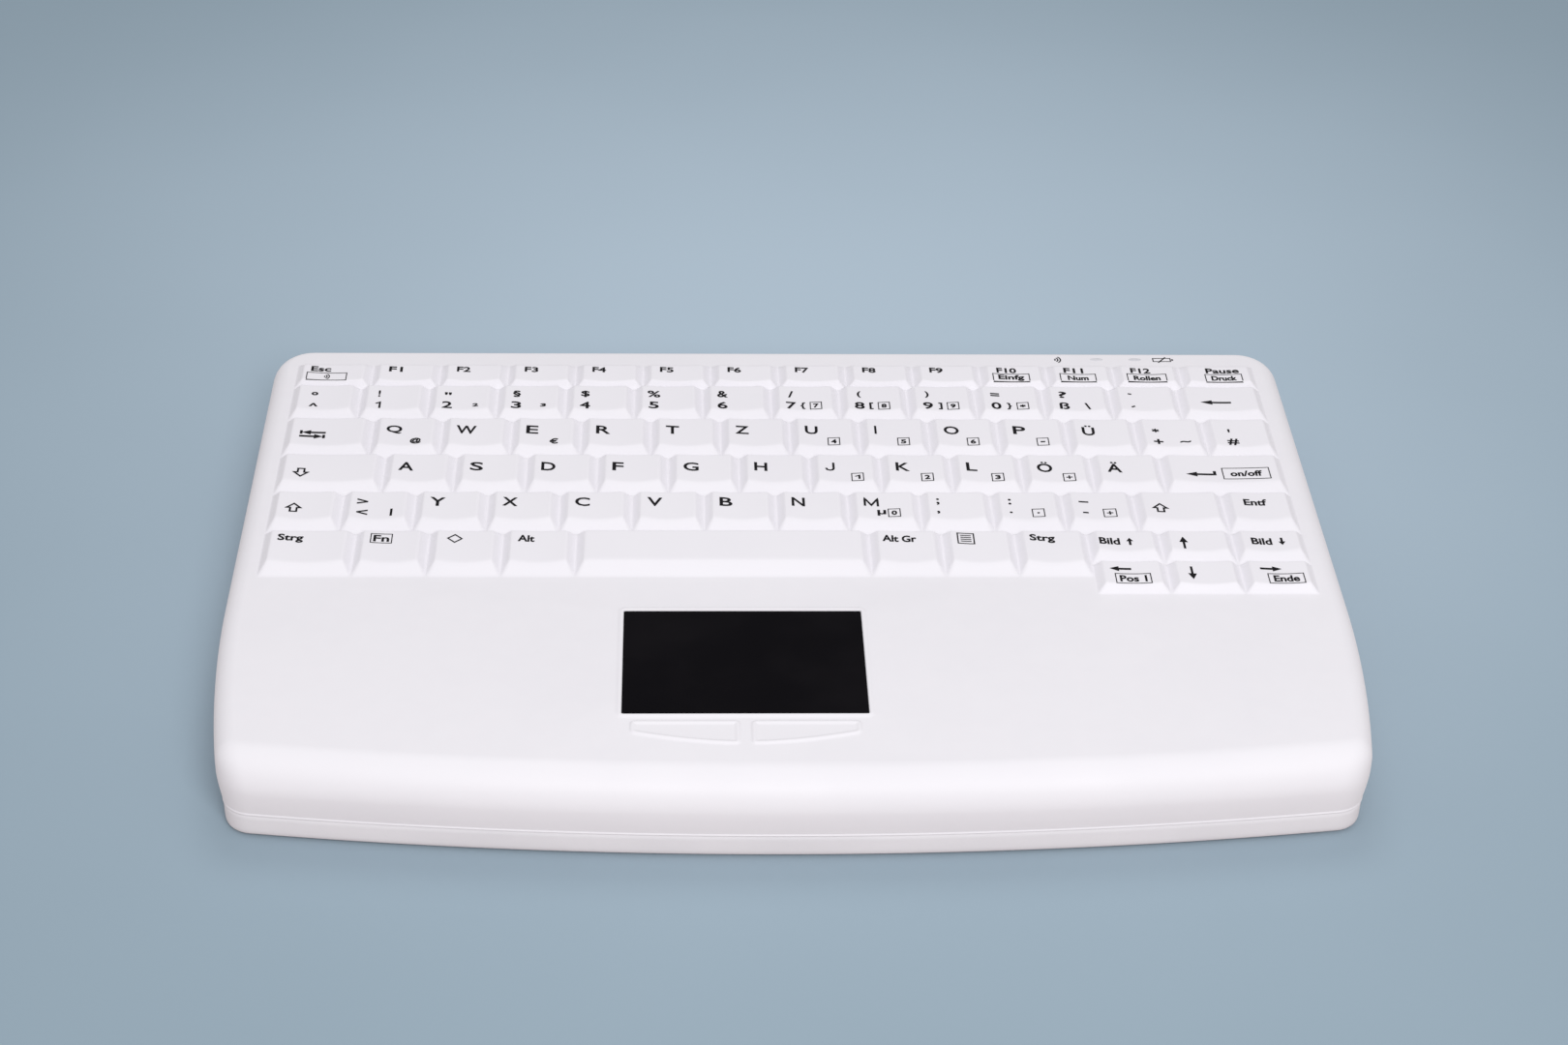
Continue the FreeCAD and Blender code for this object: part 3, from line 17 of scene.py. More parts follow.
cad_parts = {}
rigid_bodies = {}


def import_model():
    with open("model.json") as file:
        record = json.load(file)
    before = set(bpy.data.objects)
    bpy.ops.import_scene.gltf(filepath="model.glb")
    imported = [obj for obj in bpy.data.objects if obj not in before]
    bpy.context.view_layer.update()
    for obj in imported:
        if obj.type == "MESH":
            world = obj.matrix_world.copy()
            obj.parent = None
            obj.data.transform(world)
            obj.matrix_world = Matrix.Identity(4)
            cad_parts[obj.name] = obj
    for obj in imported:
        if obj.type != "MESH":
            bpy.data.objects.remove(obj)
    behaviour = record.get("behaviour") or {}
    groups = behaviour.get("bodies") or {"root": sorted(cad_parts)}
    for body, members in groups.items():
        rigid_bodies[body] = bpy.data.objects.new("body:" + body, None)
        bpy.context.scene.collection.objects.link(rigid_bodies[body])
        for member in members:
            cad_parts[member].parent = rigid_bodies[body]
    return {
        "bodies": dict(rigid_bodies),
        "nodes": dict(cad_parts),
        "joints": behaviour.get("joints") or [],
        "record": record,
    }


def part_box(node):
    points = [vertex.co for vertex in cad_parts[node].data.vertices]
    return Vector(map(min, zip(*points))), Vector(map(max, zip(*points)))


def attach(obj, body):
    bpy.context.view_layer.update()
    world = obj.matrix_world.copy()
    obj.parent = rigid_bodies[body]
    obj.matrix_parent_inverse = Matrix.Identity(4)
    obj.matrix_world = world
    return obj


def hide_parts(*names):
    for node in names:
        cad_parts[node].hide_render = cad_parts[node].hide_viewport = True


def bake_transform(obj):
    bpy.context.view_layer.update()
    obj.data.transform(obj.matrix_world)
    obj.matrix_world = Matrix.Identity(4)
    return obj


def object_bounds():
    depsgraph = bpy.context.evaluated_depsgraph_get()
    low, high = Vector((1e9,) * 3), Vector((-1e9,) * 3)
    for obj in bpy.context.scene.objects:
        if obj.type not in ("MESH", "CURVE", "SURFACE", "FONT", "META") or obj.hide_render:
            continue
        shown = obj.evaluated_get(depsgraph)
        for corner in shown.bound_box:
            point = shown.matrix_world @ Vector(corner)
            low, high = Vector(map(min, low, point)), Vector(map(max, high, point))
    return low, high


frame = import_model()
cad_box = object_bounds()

# %% [markdown]
# ## Finishes
# Every finish is a small network of nodes. A network is easier to read as a sum than as a picture
# of boxes and wires, so a class wraps a node's output: an expression such as `1 - mask * 0.2`
# then adds the Math nodes by itself. The reflected forms let a plain number stand on the left.

# %% A wire that can be calculated with
class Wire:
    """One output of a node in a network."""

    def __init__(self, network, socket):
        self.network = network
        self.socket = socket

    def sum_of(self, operation, first, second):
        return self.network.node("Math", {"operation": operation}, {0: first, 1: second})

    def __add__(self, other):
        return self.sum_of("ADD", self, other)

    def __sub__(self, other):
        return self.sum_of("SUBTRACT", self, other)

    def __rsub__(self, other):
        return self.sum_of("SUBTRACT", other, self)

    def __mul__(self, other):
        return self.sum_of("MULTIPLY", self, other)

    __radd__ = __add__
    __rmul__ = __mul__


# %% [markdown]
# A network makes its own nodes. One method covers every type of node: it takes the settings first,
# because a Mix node only has its colour sockets once its data type is set, and then the values or
# wires for the sockets.

# %% A network and its nodes
class Network:
    """The nodes of one material or of the world."""

    def __init__(self, tree):
        self.tree = tree

    def node(self, kind, settings=None, sockets=None, output=0):
        made = self.tree.nodes.new("ShaderNode" + kind)
        for name, setting in (settings or {}).items():
            setattr(made, name, setting)
        for key, value in (sockets or {}).items():
            self.plug(value, made.inputs[key])
        return Wire(self, made.outputs[output])

    def plug(self, value, socket):
        if isinstance(value, Wire):
            self.tree.links.new(value.socket, socket)
        else:
            socket.default_value = value


# %% [markdown]
# A finish is the network of a material round one Principled shader. What is the same all over the
# piece, such as sheen, is a constant on the shader itself. What varies comes from soft noise of a
# given size, and a Map Range node turns a stretch of that noise into a mask from 0 to 1.

# %% A finish
class Finish(Network):
    """A material built round one Principled shader."""

    def __init__(self, name, **constants):
        self.material = bpy.data.materials.new(name)
        self.material.use_nodes = True
        super().__init__(self.material.node_tree)
        self.shader = self.tree.nodes["Principled BSDF"]
        for socket, value in constants.items():
            self.shader.inputs[socket.replace("_", " ")].default_value = value

    def place(self):
        """Where a point is on the piece, in metres."""
        return self.node("TexCoord", output="Object")

    def grain(self, size, detail=2.0, stretch=None):
        """Soft noise from 0 to 1 whose patches are about this many millimetres wide."""
        place = self.place()
        if stretch:
            place = self.node("VectorMath", {"operation": "MULTIPLY"}, {0: place, 1: stretch})
        return self.node("TexNoise", None, {"Vector": place, "Scale": 1000 / size, "Detail": detail})

    def ramp(self, value, low, high, start=0.0, end=1.0):
        """A soft change from start to end while the value goes from low to high."""
        sockets = {"Value": value, 1: low, 2: high, 3: start, 4: end}
        return self.node("MapRange", {"interpolation_type": "SMOOTHSTEP"}, sockets)

    def mixed(self, share, first, second):
        """A colour between two colours."""
        sockets = {0: share, 6: first, 7: second}
        return self.node("Mix", {"data_type": "RGBA"}, sockets, output=2)

    def colour(self, value):
        self.plug(value, self.shader.inputs["Base Color"])
        return self

    def roughness(self, value):
        self.plug(value, self.shader.inputs["Roughness"])
        return self

    def bump(self, height, strength, depth):
        """Bumps of this many millimetres."""
        sockets = {"Height": height, "Strength": strength, "Distance": depth / 1000}
        self.plug(self.node("Bump", None, sockets), self.shader.inputs["Normal"])
        return self


def tint(red, green, blue):
    return (red, green, blue, 1.0)


# %% [markdown]
# ### Silicone
# The skin is matte white silicone with a breath of lavender. Up close it has a fine powdery grain
# and large soft clouds where hands have polished it. The colour is painted a little darker in soft
# patches towards the level of the palm rest, at the foot of the valleys between the keys. Sheen
# gives the pale bloom that soft rubber shows at a flat angle; it is the same everywhere and so sits
# on the shader itself. The darkening needs no image mask, because the height of a point says
# whether it lies in a valley.

# %% Silicone of the skin and the keys
PALM_LEVEL = 24.0
# Levels in millimetres between which the colour is painted darker near the palm rest.
LOW_DARKENING_START = PALM_LEVEL - 0.35
LOW_DARKENING_FULL = PALM_LEVEL - 0.1
LOW_DARKENING_END = PALM_LEVEL + 0.5


def silicone(name, light, shade, polish):
    made = Finish(name, Sheen_Weight=0.12, Sheen_Roughness=0.45, Specular_IOR_Level=0.28)
    clouds = made.ramp(made.grain(38, detail=3), 0.35, 0.7)
    powder = made.grain(0.35, detail=3)
    height = made.node("SeparateXYZ", None, {0: made.place()}, output=2) * 1000
    below_ridges = made.ramp(height, LOW_DARKENING_FULL, LOW_DARKENING_END, start=1.0, end=0.0)
    above_housing = made.ramp(height, LOW_DARKENING_START, LOW_DARKENING_FULL)
    # Colour painted a little darker in soft patches near the level of the palm rest, at the foot of the
    # valleys.
    low_darkening = below_ridges * above_housing * made.ramp(made.grain(6), 0.3, 0.7, start=0.1, end=0.45)
    made.colour(made.mixed(clouds * 0.35 + low_darkening * 0.5, light, shade))
    made.roughness(polish + clouds * 0.08 + powder * 0.06)
    return made.bump(powder, strength=0.35, depth=0.03)


skin_silicone = silicone("skin_silicone", tint(0.815, 0.8, 0.835), tint(0.775, 0.762, 0.80), 0.42)
key_silicone = silicone("key_silicone", tint(0.83, 0.815, 0.855), tint(0.79, 0.775, 0.82), 0.46)
print("silicone for the skin and the keys")


# %% [markdown]
# ### Ink, light spots and the touchpad
# The legends are printed in dense black ink that sits on the rubber and wears thin in tiny spots.
# The status lights shine through a thinner, greyer patch of skin. The touchpad is a nearly black
# film with a very fine matte grain, and fingers leave it smoother in the middle. Black turns grey
# as soon as it reflects the lamps, so ink and film have hardly any specular reflection.

# %% Ink, light spots and touchpad film
def ink():
    made = Finish("legend_ink", Specular_IOR_Level=0.05)
    thin = made.ramp(made.grain(0.5), 0.62, 0.8)
    made.colour(made.mixed(thin * 0.4, tint(0.008, 0.0075, 0.009), tint(0.05, 0.049, 0.053)))
    return made.roughness(0.5 + thin * 0.2)


def light_spot():
    made = Finish("light_spot", Specular_IOR_Level=0.3)
    cloud = made.ramp(made.grain(1.6), 0.3, 0.7)
    made.colour(made.mixed(cloud, tint(0.60, 0.60, 0.64), tint(0.68, 0.675, 0.71)))
    return made.roughness(0.5 + cloud * 0.1)


def touchpad_film():
    made = Finish("pad_black", Specular_IOR_Level=0.012)
    smear = made.ramp(made.grain(24, detail=4), 0.4, 0.75)
    weave = made.grain(0.25, detail=1)
    made.colour(made.mixed(smear, tint(0.0042, 0.0038, 0.005), tint(0.0062, 0.0055, 0.0068)))
    made.roughness(0.56 - smear * 0.06 + weave * 0.05)
    return made.bump(weave, strength=0.25, depth=0.02)


legend_ink = ink()
spot_finish = light_spot()
pad_black = touchpad_film()
print("ink, light spots and touchpad film")


# %% [markdown]
# ### Moulded plastic
# The base is spark-textured plastic in the same off-white: a fine pebble grain, faint flow clouds
# and slightly glossier high spots where it has slid over desks. The hidden housing, the guide
# plate, the clear light pipes and the jackets of the cells are plastic too and differ in colour,
# grain and gloss, so one recipe makes them all.

# %% Plastics
def plastic(name, light, shade, polish, pebble=0.5, depth=0.04, **constants):
    made = Finish(name, **constants)
    clouds = made.ramp(made.grain(30, detail=3), 0.3, 0.75)
    pebbles = made.grain(pebble)
    rubbed = made.ramp(pebbles, 0.62, 0.8)
    made.colour(made.mixed(clouds * 0.7 + rubbed * 0.3, light, shade))
    made.roughness(polish + clouds * 0.07 - rubbed * 0.08)
    return made.bump(pebbles, strength=0.5, depth=depth)


base_plastic = plastic("base_plastic", tint(0.75, 0.735, 0.765), tint(0.70, 0.688, 0.72), 0.48)
housing_plastic = plastic("housing_plastic", tint(0.70, 0.69, 0.68), tint(0.64, 0.63, 0.62), 0.5)
guide_plastic = plastic("guide_plastic", tint(0.035, 0.035, 0.038), tint(0.05, 0.05, 0.054), 0.42)
clear_plastic = plastic(
    "clear_plastic", tint(0.86, 0.88, 0.89), tint(0.80, 0.83, 0.85), 0.16, 1.2, 0.01,
    Transmission_Weight=0.7,
)
cell_jacket = plastic("cell_jacket", tint(0.05, 0.14, 0.10), tint(0.04, 0.11, 0.08), 0.3, 0.8, 0.01)
print("five plastics")


# %% [markdown]
# ### Rubber and films
# Feet, seal and dome mat are rubber. Rubber is duller than plastic and its colour is blotchy where
# the powder from the mould stays on it. The printed membrane, the circuit boards and the flat
# cable carry fine tracks, drawn with a Wave texture. At scale 1 its stripes repeat every
# 2 pi / 20 metres, so the distance between two tracks gives the scale.

# %% Rubbers and films
WAVE_PERIOD = 2 * pi / 20


def rubber(name, light, bloom, polish):
    made = Finish(name, Sheen_Weight=0.1, Specular_IOR_Level=0.35)
    powder = made.ramp(made.grain(4, detail=4), 0.45, 0.75)
    made.colour(made.mixed(powder * 0.6, light, bloom))
    made.roughness(polish + powder * 0.12)
    return made.bump(made.grain(0.3), strength=0.5, depth=0.04)


def tracked_film(name, film, track, pitch, polish):
    """A film or board with tracks this many millimetres apart."""
    made = Finish(name)
    waves = {"Vector": made.place(), "Scale": 1000 * WAVE_PERIOD / pitch, "Distortion": 0.6}
    stripes = made.ramp(made.node("TexWave", {"bands_direction": "X"}, waves), 0.55, 0.7)
    scuff = made.ramp(made.grain(9, detail=3), 0.5, 0.8)
    made.colour(made.mixed(stripes * 0.8, film, track))
    made.roughness(polish + scuff * 0.15)
    return made.bump(stripes, strength=0.3, depth=0.02)


foot_rubber = rubber("foot_rubber", tint(0.05, 0.05, 0.055), tint(0.11, 0.11, 0.115), 0.7)
seal_rubber = rubber("seal_rubber", tint(0.16, 0.17, 0.18), tint(0.24, 0.25, 0.26), 0.66)
dome_rubber = rubber("dome_rubber", tint(0.62, 0.65, 0.68), tint(0.74, 0.76, 0.78), 0.5)
printed_film = tracked_film("printed_film", tint(0.55, 0.60, 0.62), tint(0.34, 0.36, 0.38), 4.75, 0.3)
flat_cable = tracked_film("flat_cable", tint(0.72, 0.50, 0.18), tint(0.45, 0.24, 0.08), 1.98, 0.35)
circuit_board = tracked_film("circuit_board", tint(0.02, 0.15, 0.07), tint(0.03, 0.22, 0.11), 3.17, 0.34)
print("three rubbers, three tracked films")


# %% [markdown]
# ### Metals
# The backing plate, the contacts and the screws are metal. Rolled sheet shows fine lines along one
# direction, so its noise is stretched. Fingers and tools leave patches that are duller and a
# little darker, as a second, softer noise.

# %% Metals
def metal(name, light, shade, polish, stretch=None):
    made = Finish(name, Metallic=1.0)
    lines = made.grain(0.6, detail=3, stretch=stretch)
    dull = made.ramp(made.grain(7, detail=4), 0.4, 0.75)
    made.colour(made.mixed(lines * 0.5 + dull * 0.3, light, shade))
    made.roughness(polish + dull * 0.15 + lines * 0.08)
    return made.bump(lines, strength=0.3, depth=0.01)


ALONG_X = (0.04, 1, 1)
ALONG_Y = (1, 0.05, 1)
backing_steel = metal("backing_steel", tint(0.58, 0.59, 0.61), tint(0.46, 0.47, 0.49), 0.3, ALONG_X)
contact_metal = metal("contact_metal", tint(0.70, 0.66, 0.56), tint(0.58, 0.54, 0.46), 0.24, ALONG_Y)
screw_steel = metal("screw_steel", tint(0.50, 0.50, 0.52), tint(0.36, 0.36, 0.38), 0.3)
print("three metals")

# %% [markdown]
# ## The plan of the keyboard
# A maker thinks of this keyboard in millimetres, while Blender works in metres. All sizes below
# are in millimetres and `metres` turns them over at the last moment. What the frame knows isn't
# typed again: `box_of` asks it where a CAD piece is, and the whole box gives the overall size.

# %% Places from the frame
def metres(x, y, z):
    return Vector((x, y, z)) / 1000


def millimetres(corner):
    """A corner of a box, to a thousandth of a millimetre."""
    return [round(value * 1000, 3) for value in corner]


def box_of(name):
    """The lowest and the highest corner of a CAD piece."""
    return [millimetres(corner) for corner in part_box(name)]


HALF_WIDTH, HALF_DEPTH, _ = millimetres(cad_box[1])
print("the keyboard is", 2 * HALF_WIDTH, "mm wide and", 2 * HALF_DEPTH, "mm deep")


# %% [markdown]
# The skin will be drawn like a boat, from level outlines. An outline is made of straight lines and
# arcs, each given by its ends. Both leave their last point to the next stretch, so that stretches
# can be strung together without doubled points.

# %% Arcs and lines
def arc(centre, start, end, steps):
    """Points on a circle from start up to, but without, the end, by the shorter way."""
    first = atan2(start[1] - centre[1], start[0] - centre[0])
    turn = atan2(end[1] - centre[1], end[0] - centre[0]) - first
    turn = (turn + pi) % (2 * pi) - pi
    radius = hypot(start[0] - centre[0], start[1] - centre[1])
    angles = [first + turn * i / steps for i in range(steps)]
    return [(centre[0] + radius * cos(a), centre[1] + radius * sin(a)) for a in angles]


def line(start, end, steps):
    """Points on a straight line from start up to, but without, the end."""
    shares = [i / steps for i in range(steps)]
    return [tuple(a + (b - a) * share for a, b in zip(start, end)) for share in shares]


quarter = arc((0, 0), (1, 0), (0, 1), steps=2)
print("half way round a quarter:", [round(value, 3) for value in quarter[1]])


# %% [markdown]
# In plan the keyboard is straight along the rear and the rear half of its sides. Towards the user
# the sides draw in on a very large radius, the front edge bows out on a larger one, and small
# circles join them. A corner circle touches both bows from inside, so its centre is as far from
# each bow's centre as that bow's radius less its own: it is where two circles meet.

# %% Circles that touch
def meeting(first, first_radius, second, second_radius):
    """The lower point where two circles cross."""
    distance = hypot(second[0] - first[0], second[1] - first[1])
    along_x, along_y = (second[0] - first[0]) / distance, (second[1] - first[1]) / distance
    along = (first_radius**2 - second_radius**2 + distance**2) / (2 * distance)
    across = sqrt(first_radius**2 - along**2)
    foot = (first[0] + along_x * along, first[1] + along_y * along)
    points = [(foot[0] + side * along_y * across, foot[1] - side * along_x * across) for side in (-1, 1)]
    return min(points, key=lambda point: point[1])


def touching(centre, inner, radius):
    """The point of a circle on the line from its centre through another point."""
    distance = hypot(inner[0] - centre[0], inner[1] - centre[1])
    return tuple(c + (i - c) * radius / distance for c, i in zip(centre, inner))


crossing = meeting((0, 0), 1, (1, 0), 1)
print("two unit circles cross at", [round(value, 3) for value in crossing])

# %% [markdown]
# `outline` works the right half out and mirrors it. It can move in by one distance at the sides,
# another at the front and a third at the rear, because the three edges are rounded to different
# radii. Every outline has the same number of points, so two of them can be joined by a strip.

# %% The outline at one level
REAR_CORNER = 11.0
FRONT_CORNER = 10.0
LEAST_CORNER = 0.6
BOW_START = -24.6
SIDE_BOW = 390.0
FRONT_BOW = 1000.0


def outline(side, front=None, rear=None):
    """The outline moved in by a distance from the sides, the front and the rear."""
    front = side if front is None else front
    rear = side if rear is None else rear
    corner = FRONT_CORNER - min(max(side, front), FRONT_CORNER - LEAST_CORNER)
    side_centre = (HALF_WIDTH - SIDE_BOW, BOW_START)
    front_centre = (0, FRONT_BOW - HALF_DEPTH)
    side_bow = SIDE_BOW - side
    front_bow = FRONT_BOW - front
    centre = meeting(side_centre, side_bow - corner, front_centre, front_bow - corner)
    side_end = touching(side_centre, centre, side_bow)
    front_end = touching(front_centre, centre, front_bow)
    rear_corner = REAR_CORNER - max(side, rear)
    rear_centre = (HALF_WIDTH - side - rear_corner, HALF_DEPTH - rear - rear_corner)
    rear_start = (rear_centre[0], HALF_DEPTH - rear)
    rear_end = (HALF_WIDTH - side, rear_centre[1])
    right = (
        line((0, HALF_DEPTH - rear), rear_start, steps=10)
        + arc(rear_centre, rear_start, rear_end, steps=10)
        + line(rear_end, (HALF_WIDTH - side, BOW_START), steps=10)
        + arc(side_centre, (HALF_WIDTH - side, BOW_START), side_end, steps=14)
        + arc(centre, side_end, front_end, steps=12)
        + arc(front_centre, front_end, (0, front - HALF_DEPTH), steps=24)
    )
    left = [(-x, y) for x, y in right[1:]]
    return right[:1] + left + [(0, front - HALF_DEPTH)] + right[:0:-1]


print(len(outline(0)), "points round the outline")


# %% [markdown]
# ## Mesh helpers
# Two moves build every form below. The first is a strip of faces between two loops of points that
# lie at different levels. A profile carried round a form is a stack of such strips.

# %% Loops and strips
def add_loop(mesh, points, level):
    return [mesh.verts.new(metres(x, y, level)) for x, y in points]


def join_loops(mesh, loops):
    """Strips between loops that follow each other upwards or inwards."""
    for first, second in zip(loops, loops[1:]):
        for i in range(len(first)):
            j = (i + 1) % len(first)
            mesh.faces.new((first[i], first[j], second[j], second[i]))


# %% [markdown]
# The second move is a flat face with holes in it. Blender's constrained triangulation fills the
# outline and keeps to the edges of the holes, but it fills the holes too. The triangles whose
# middle lies in a hole are then dropped: a ray to the right crosses a closed line an odd number
# of times when it starts inside.

# %% Flat faces with holes
SAME_POINT = 1e-5


def inside(point, loop):
    """Whether a point of the plan is inside a closed loop."""
    x, y = point
    crossings = 0
    for (ax, ay), (bx, by) in zip(loop, loop[1:] + loop[:1]):
        if (ay > y) != (by > y) and x < ax + (bx - ax) * (y - ay) / (by - ay):
            crossings += 1
    return crossings % 2 == 1


def fill_flat(mesh, outer, holes, level):
    """A flat face inside the outer loop, with holes."""
    points, edges = [], []
    for loop in [outer, *holes]:
        first = len(points)
        count = len(loop)
        points += [Vector(point) for point in loop]
        edges += [(first + i, first + (i + 1) % count) for i in range(count)]
    places, _, triangles, *_ = delaunay_2d_cdt(points, edges, [], 1, SAME_POINT)
    verts = add_loop(mesh, places, level)
    for triangle in triangles:
        middle = sum((places[i] for i in triangle), Vector((0, 0))) / len(triangle)
        if inside(middle, outer) and not any(inside(middle, hole) for hole in holes):
            mesh.faces.new([verts[i] for i in triangle])


square = [(0, 0), (1, 0), (1, 1), (0, 1)]
print("the middle is inside a square:", inside((0.5, 0.5), square))

# %% [markdown]
# A finished mesh becomes an object in one step, the same for every piece: points that lie on each
# other are welded, the faces are shaded smooth and the finishes fill the material slots. The
# first finish is that of the piece and the second, where there is one, that of its print.

# %% From a mesh to a piece
WELD = 2e-6


def finish_piece(mesh, name, *finishes):
    """The mesh as an object in the scene, smooth and with its finishes."""
    bmesh.ops.remove_doubles(mesh, verts=mesh.verts, dist=WELD)
    data = bpy.data.meshes.new(name)
    for face in mesh.faces:
        face.smooth = True
    mesh.to_mesh(data)
    mesh.free()
    for finish in finishes:
        data.materials.append(finish.material)
    piece = bpy.data.objects.new(name, data)
    bpy.context.collection.objects.link(piece)
    print(name, len(data.polygons), "faces")
    return piece


# %% [markdown]
# ## The legends
# The legends are printed on the key tops. Signs and frames are drawn as strokes of one width, in
# the way a pen plotter would: a line of points goes in, and a flat band of points and faces comes
# out. Long straight parts get points in between, so that the band can follow a hollow key later.

# %% Strokes
STROKE = 0.72
PRINT_STEP = 0.7
SHARPEST_BEND = 0.4


def spaced(points, closed):
    """The line with more points on its straight parts."""
    dense = []
    for i, (x, y) in enumerate(points if closed else points[:-1]):
        end_x, end_y = points[(i + 1) % len(points)]
        steps = max(1, round(hypot(end_x - x, end_y - y) / PRINT_STEP))
        dense += [(x + (end_x - x) * k / steps, y + (end_y - y) * k / steps) for k in range(steps)]
    return dense if closed else dense + [points[-1]]


def stroke(points, width=STROKE, closed=False):
    """A band of one width along a line of points: its points and its faces."""
    points = spaced(points, closed)
    count = len(points)
    left, right = [], []
    for i, (x, y) in enumerate(points):
        before = points[i - 1] if closed or i else points[i]
        after = points[(i + 1) % count] if closed or i < count - 1 else points[i]
        ins = Vector((x - before[0], y - before[1]))
        out = Vector((after[0] - x, after[1] - y))
        ins = ins.normalized() if ins.length else out.normalized()
        out = out.normalized() if out.length else ins
        across = Vector((-(ins.y + out.y), ins.x + out.x)).normalized()
        reach = width / 2 / max(across.dot(Vector((-out.y, out.x))), SHARPEST_BEND)
        left.append((x + across.x * reach, y + across.y * reach))
        right.append((x - across.x * reach, y - across.y * reach))
    last = count if closed else count - 1
    faces = [(count + i, count + (i + 1) % count, (i + 1) % count, i) for i in range(last)]
    return left + right, faces


def moved(shapes, dx, dy):
    return [([(x + dx, y + dy) for x, y in points], faces) for points, faces in shapes]


def scaled(shapes, along_x, along_y):
    return [([(x * along_x, y * along_y) for x, y in points], faces) for points, faces in shapes]


print(len(stroke([(0, 0), (7, 0)])[1]), "faces in a stroke of 7 mm")


# %% [markdown]
# Every sign is a function that gives a list of shapes round the origin. The arrows of the tab,
# the enter key, the backspace and the cursor keys are one function with a direction.

# %% Arrows
SLIM_HEAD = 0.9
WIDE_HEAD = 1.15


def arrow(dx, dy, length, head):
    """A thin arrow with a solid head; short heads are slim."""
    half = SLIM_HEAD if head < 2 else WIDE_HEAD
    tip = (dx * length / 2, dy * length / 2)
    neck = (tip[0] - dx * head, tip[1] - dy * head)
    shaft = stroke([(-tip[0], -tip[1]), neck], 0.85 if dx else 0.62)
    left_barb = (neck[0] - dy * half, neck[1] + dx * half)
    right_barb = (neck[0] + dy * half, neck[1] - dx * half)
    return [shaft, ([tip, left_barb, right_barb], [(0, 1, 2)])]


def shift(way):
    """The hollow arrow of the shift keys, or upside down that of the caps key."""
    half = [(0, 2.0), (1.8, 0), (0.85, 0), (0.85, -1.8)]
    points = half + [(-x, y) for x, y in half[:0:-1]]
    return scaled([stroke(points, 0.52, closed=True)], 1, way)


def tab():
    to_the_bar = moved(arrow(-1, 0, 6.4, 2.4), 0.3, 1.0) + [stroke([(-3.1, 0.1), (-3.1, 1.9)])]
    return to_the_bar + scaled(to_the_bar, -1, -1)


def enter():
    hook = stroke([(3.0, -0.5), (3.9, -0.5), (3.9, 1.2)], 0.8)
    return moved(arrow(-1, 0, 7.0, 3.0), -0.4, -0.5) + [hook]


print(len(tab()), "shapes in the tab sign")


# %% [markdown]
# The other signs are plain: a list for the menu key, three arcs for the wireless link, a battery,
# a diamond, and the ticks, bars and crosses of accents and sums.

# %% Plain signs
def menu():
    page = stroke([(-2.1, -2.4), (2.1, -2.4), (2.1, 2.4), (-2.1, 2.4)], 0.36, closed=True)
    return [page] + [stroke([(-1.4, y), (1.4, y)], 0.36) for y in (1.4, 0.5, -0.4, -1.3)]


def waves(size):
    angles = [radians(-50 + 20 * i) for i in range(6)]
    arcs = [[(radius * cos(a) - 1.5, radius * sin(a)) for a in angles] for radius in (0.8, 1.8, 2.8)]
    return scaled([stroke(points, 0.5) for points in arcs], size, size)


def battery():
    body = stroke([(-2.8, -0.9), (2.2, -0.9), (2.2, 0.9), (-2.8, 0.9)], 0.3, closed=True)
    tip = ([(2.5, -0.4), (3.0, -0.4), (3.0, 0.4), (2.5, 0.4)], [(0, 1, 2, 3)])
    return [body, tip, stroke([(-1.4, -1.5), (0.9, 1.5)], 0.4)]


def diamond():
    return [stroke([(0, 1.8), (1.8, 0), (0, -1.8), (-1.8, 0)], 0.42, closed=True)]


def tick(lean):
    return [stroke([(-0.5, 0.6 * -lean), (0.5, 0.2 * -lean + 0.2)], 0.6)]


def bar(wide, high=0.0):
    return [stroke([(-wide / 2, -high / 2), (wide / 2, high / 2)], 0.62)]


def plus(size):
    width = 0.42 if size < 2 else 0.66
    return [stroke([(-size / 2, 0), (size / 2, 0)], width), stroke([(0, -size / 2), (0, size / 2)], width)]


print(len(menu()), "strokes in the menu sign")

# %% [markdown]
# Texts come from Blender's own font, which a text object turns into filled flat outlines. The
# font's J, M and 1 have flourishes that don't suit the plain legends, so strokes draw those three.

# %% Texts
FONT_SIZE = 6.0
CURVE_STEPS = 3
PEN = 0.36
STROKED = {
    "J": [(0.9, 2.1), (0.9, -0.9), (0.6, -1.6), (-0.1, -1.85), (-0.8, -1.6), (-1.05, -0.9)],
    "M": [(-1.7, -2.1), (-1.7, 1.85), (0, -1.7), (1.7, 1.85), (1.7, -2.1)],
    "1": [(-0.8, 0.9), (0.35, 1.8), (0.35, -1.9)],
}


def text_shapes(text):
    """The filled outline of a text."""
    if text in STROKED:
        return [stroke(STROKED[text], PEN)]
    curve = bpy.data.curves.new("legend", "FONT")
    curve.body = text
    curve.size = FONT_SIZE
    curve.resolution_u = CURVE_STEPS
    writer = bpy.data.objects.new("legend", curve)
    flat = bpy.data.meshes.new_from_object(writer)
    points = [(vertex.co.x, vertex.co.y) for vertex in flat.vertices]
    faces = [tuple(face.vertices) for face in flat.polygons]
    bpy.data.objects.remove(writer)
    bpy.data.curves.remove(curve)
    bpy.data.meshes.remove(flat)
    return [(points, faces)]


print(len(text_shapes("A")[0][1]), "triangles in an A")


# %% [markdown]
# Every text is brought to the height and width that its key asks for. The printed letters are a
# little bolder than the font. A text object has an offset for that, but it tears the thin joints
# of a letter apart. So the text is filled first, and then each point of its border moves away from
# the two border edges that meet there, further at a corner, up to a limit. An edge belongs to the
# border when no other face uses it in the opposite direction.

# %% Texts of the right size and weight
BOLD = 0.12
LEAST_PUSH = 0.6


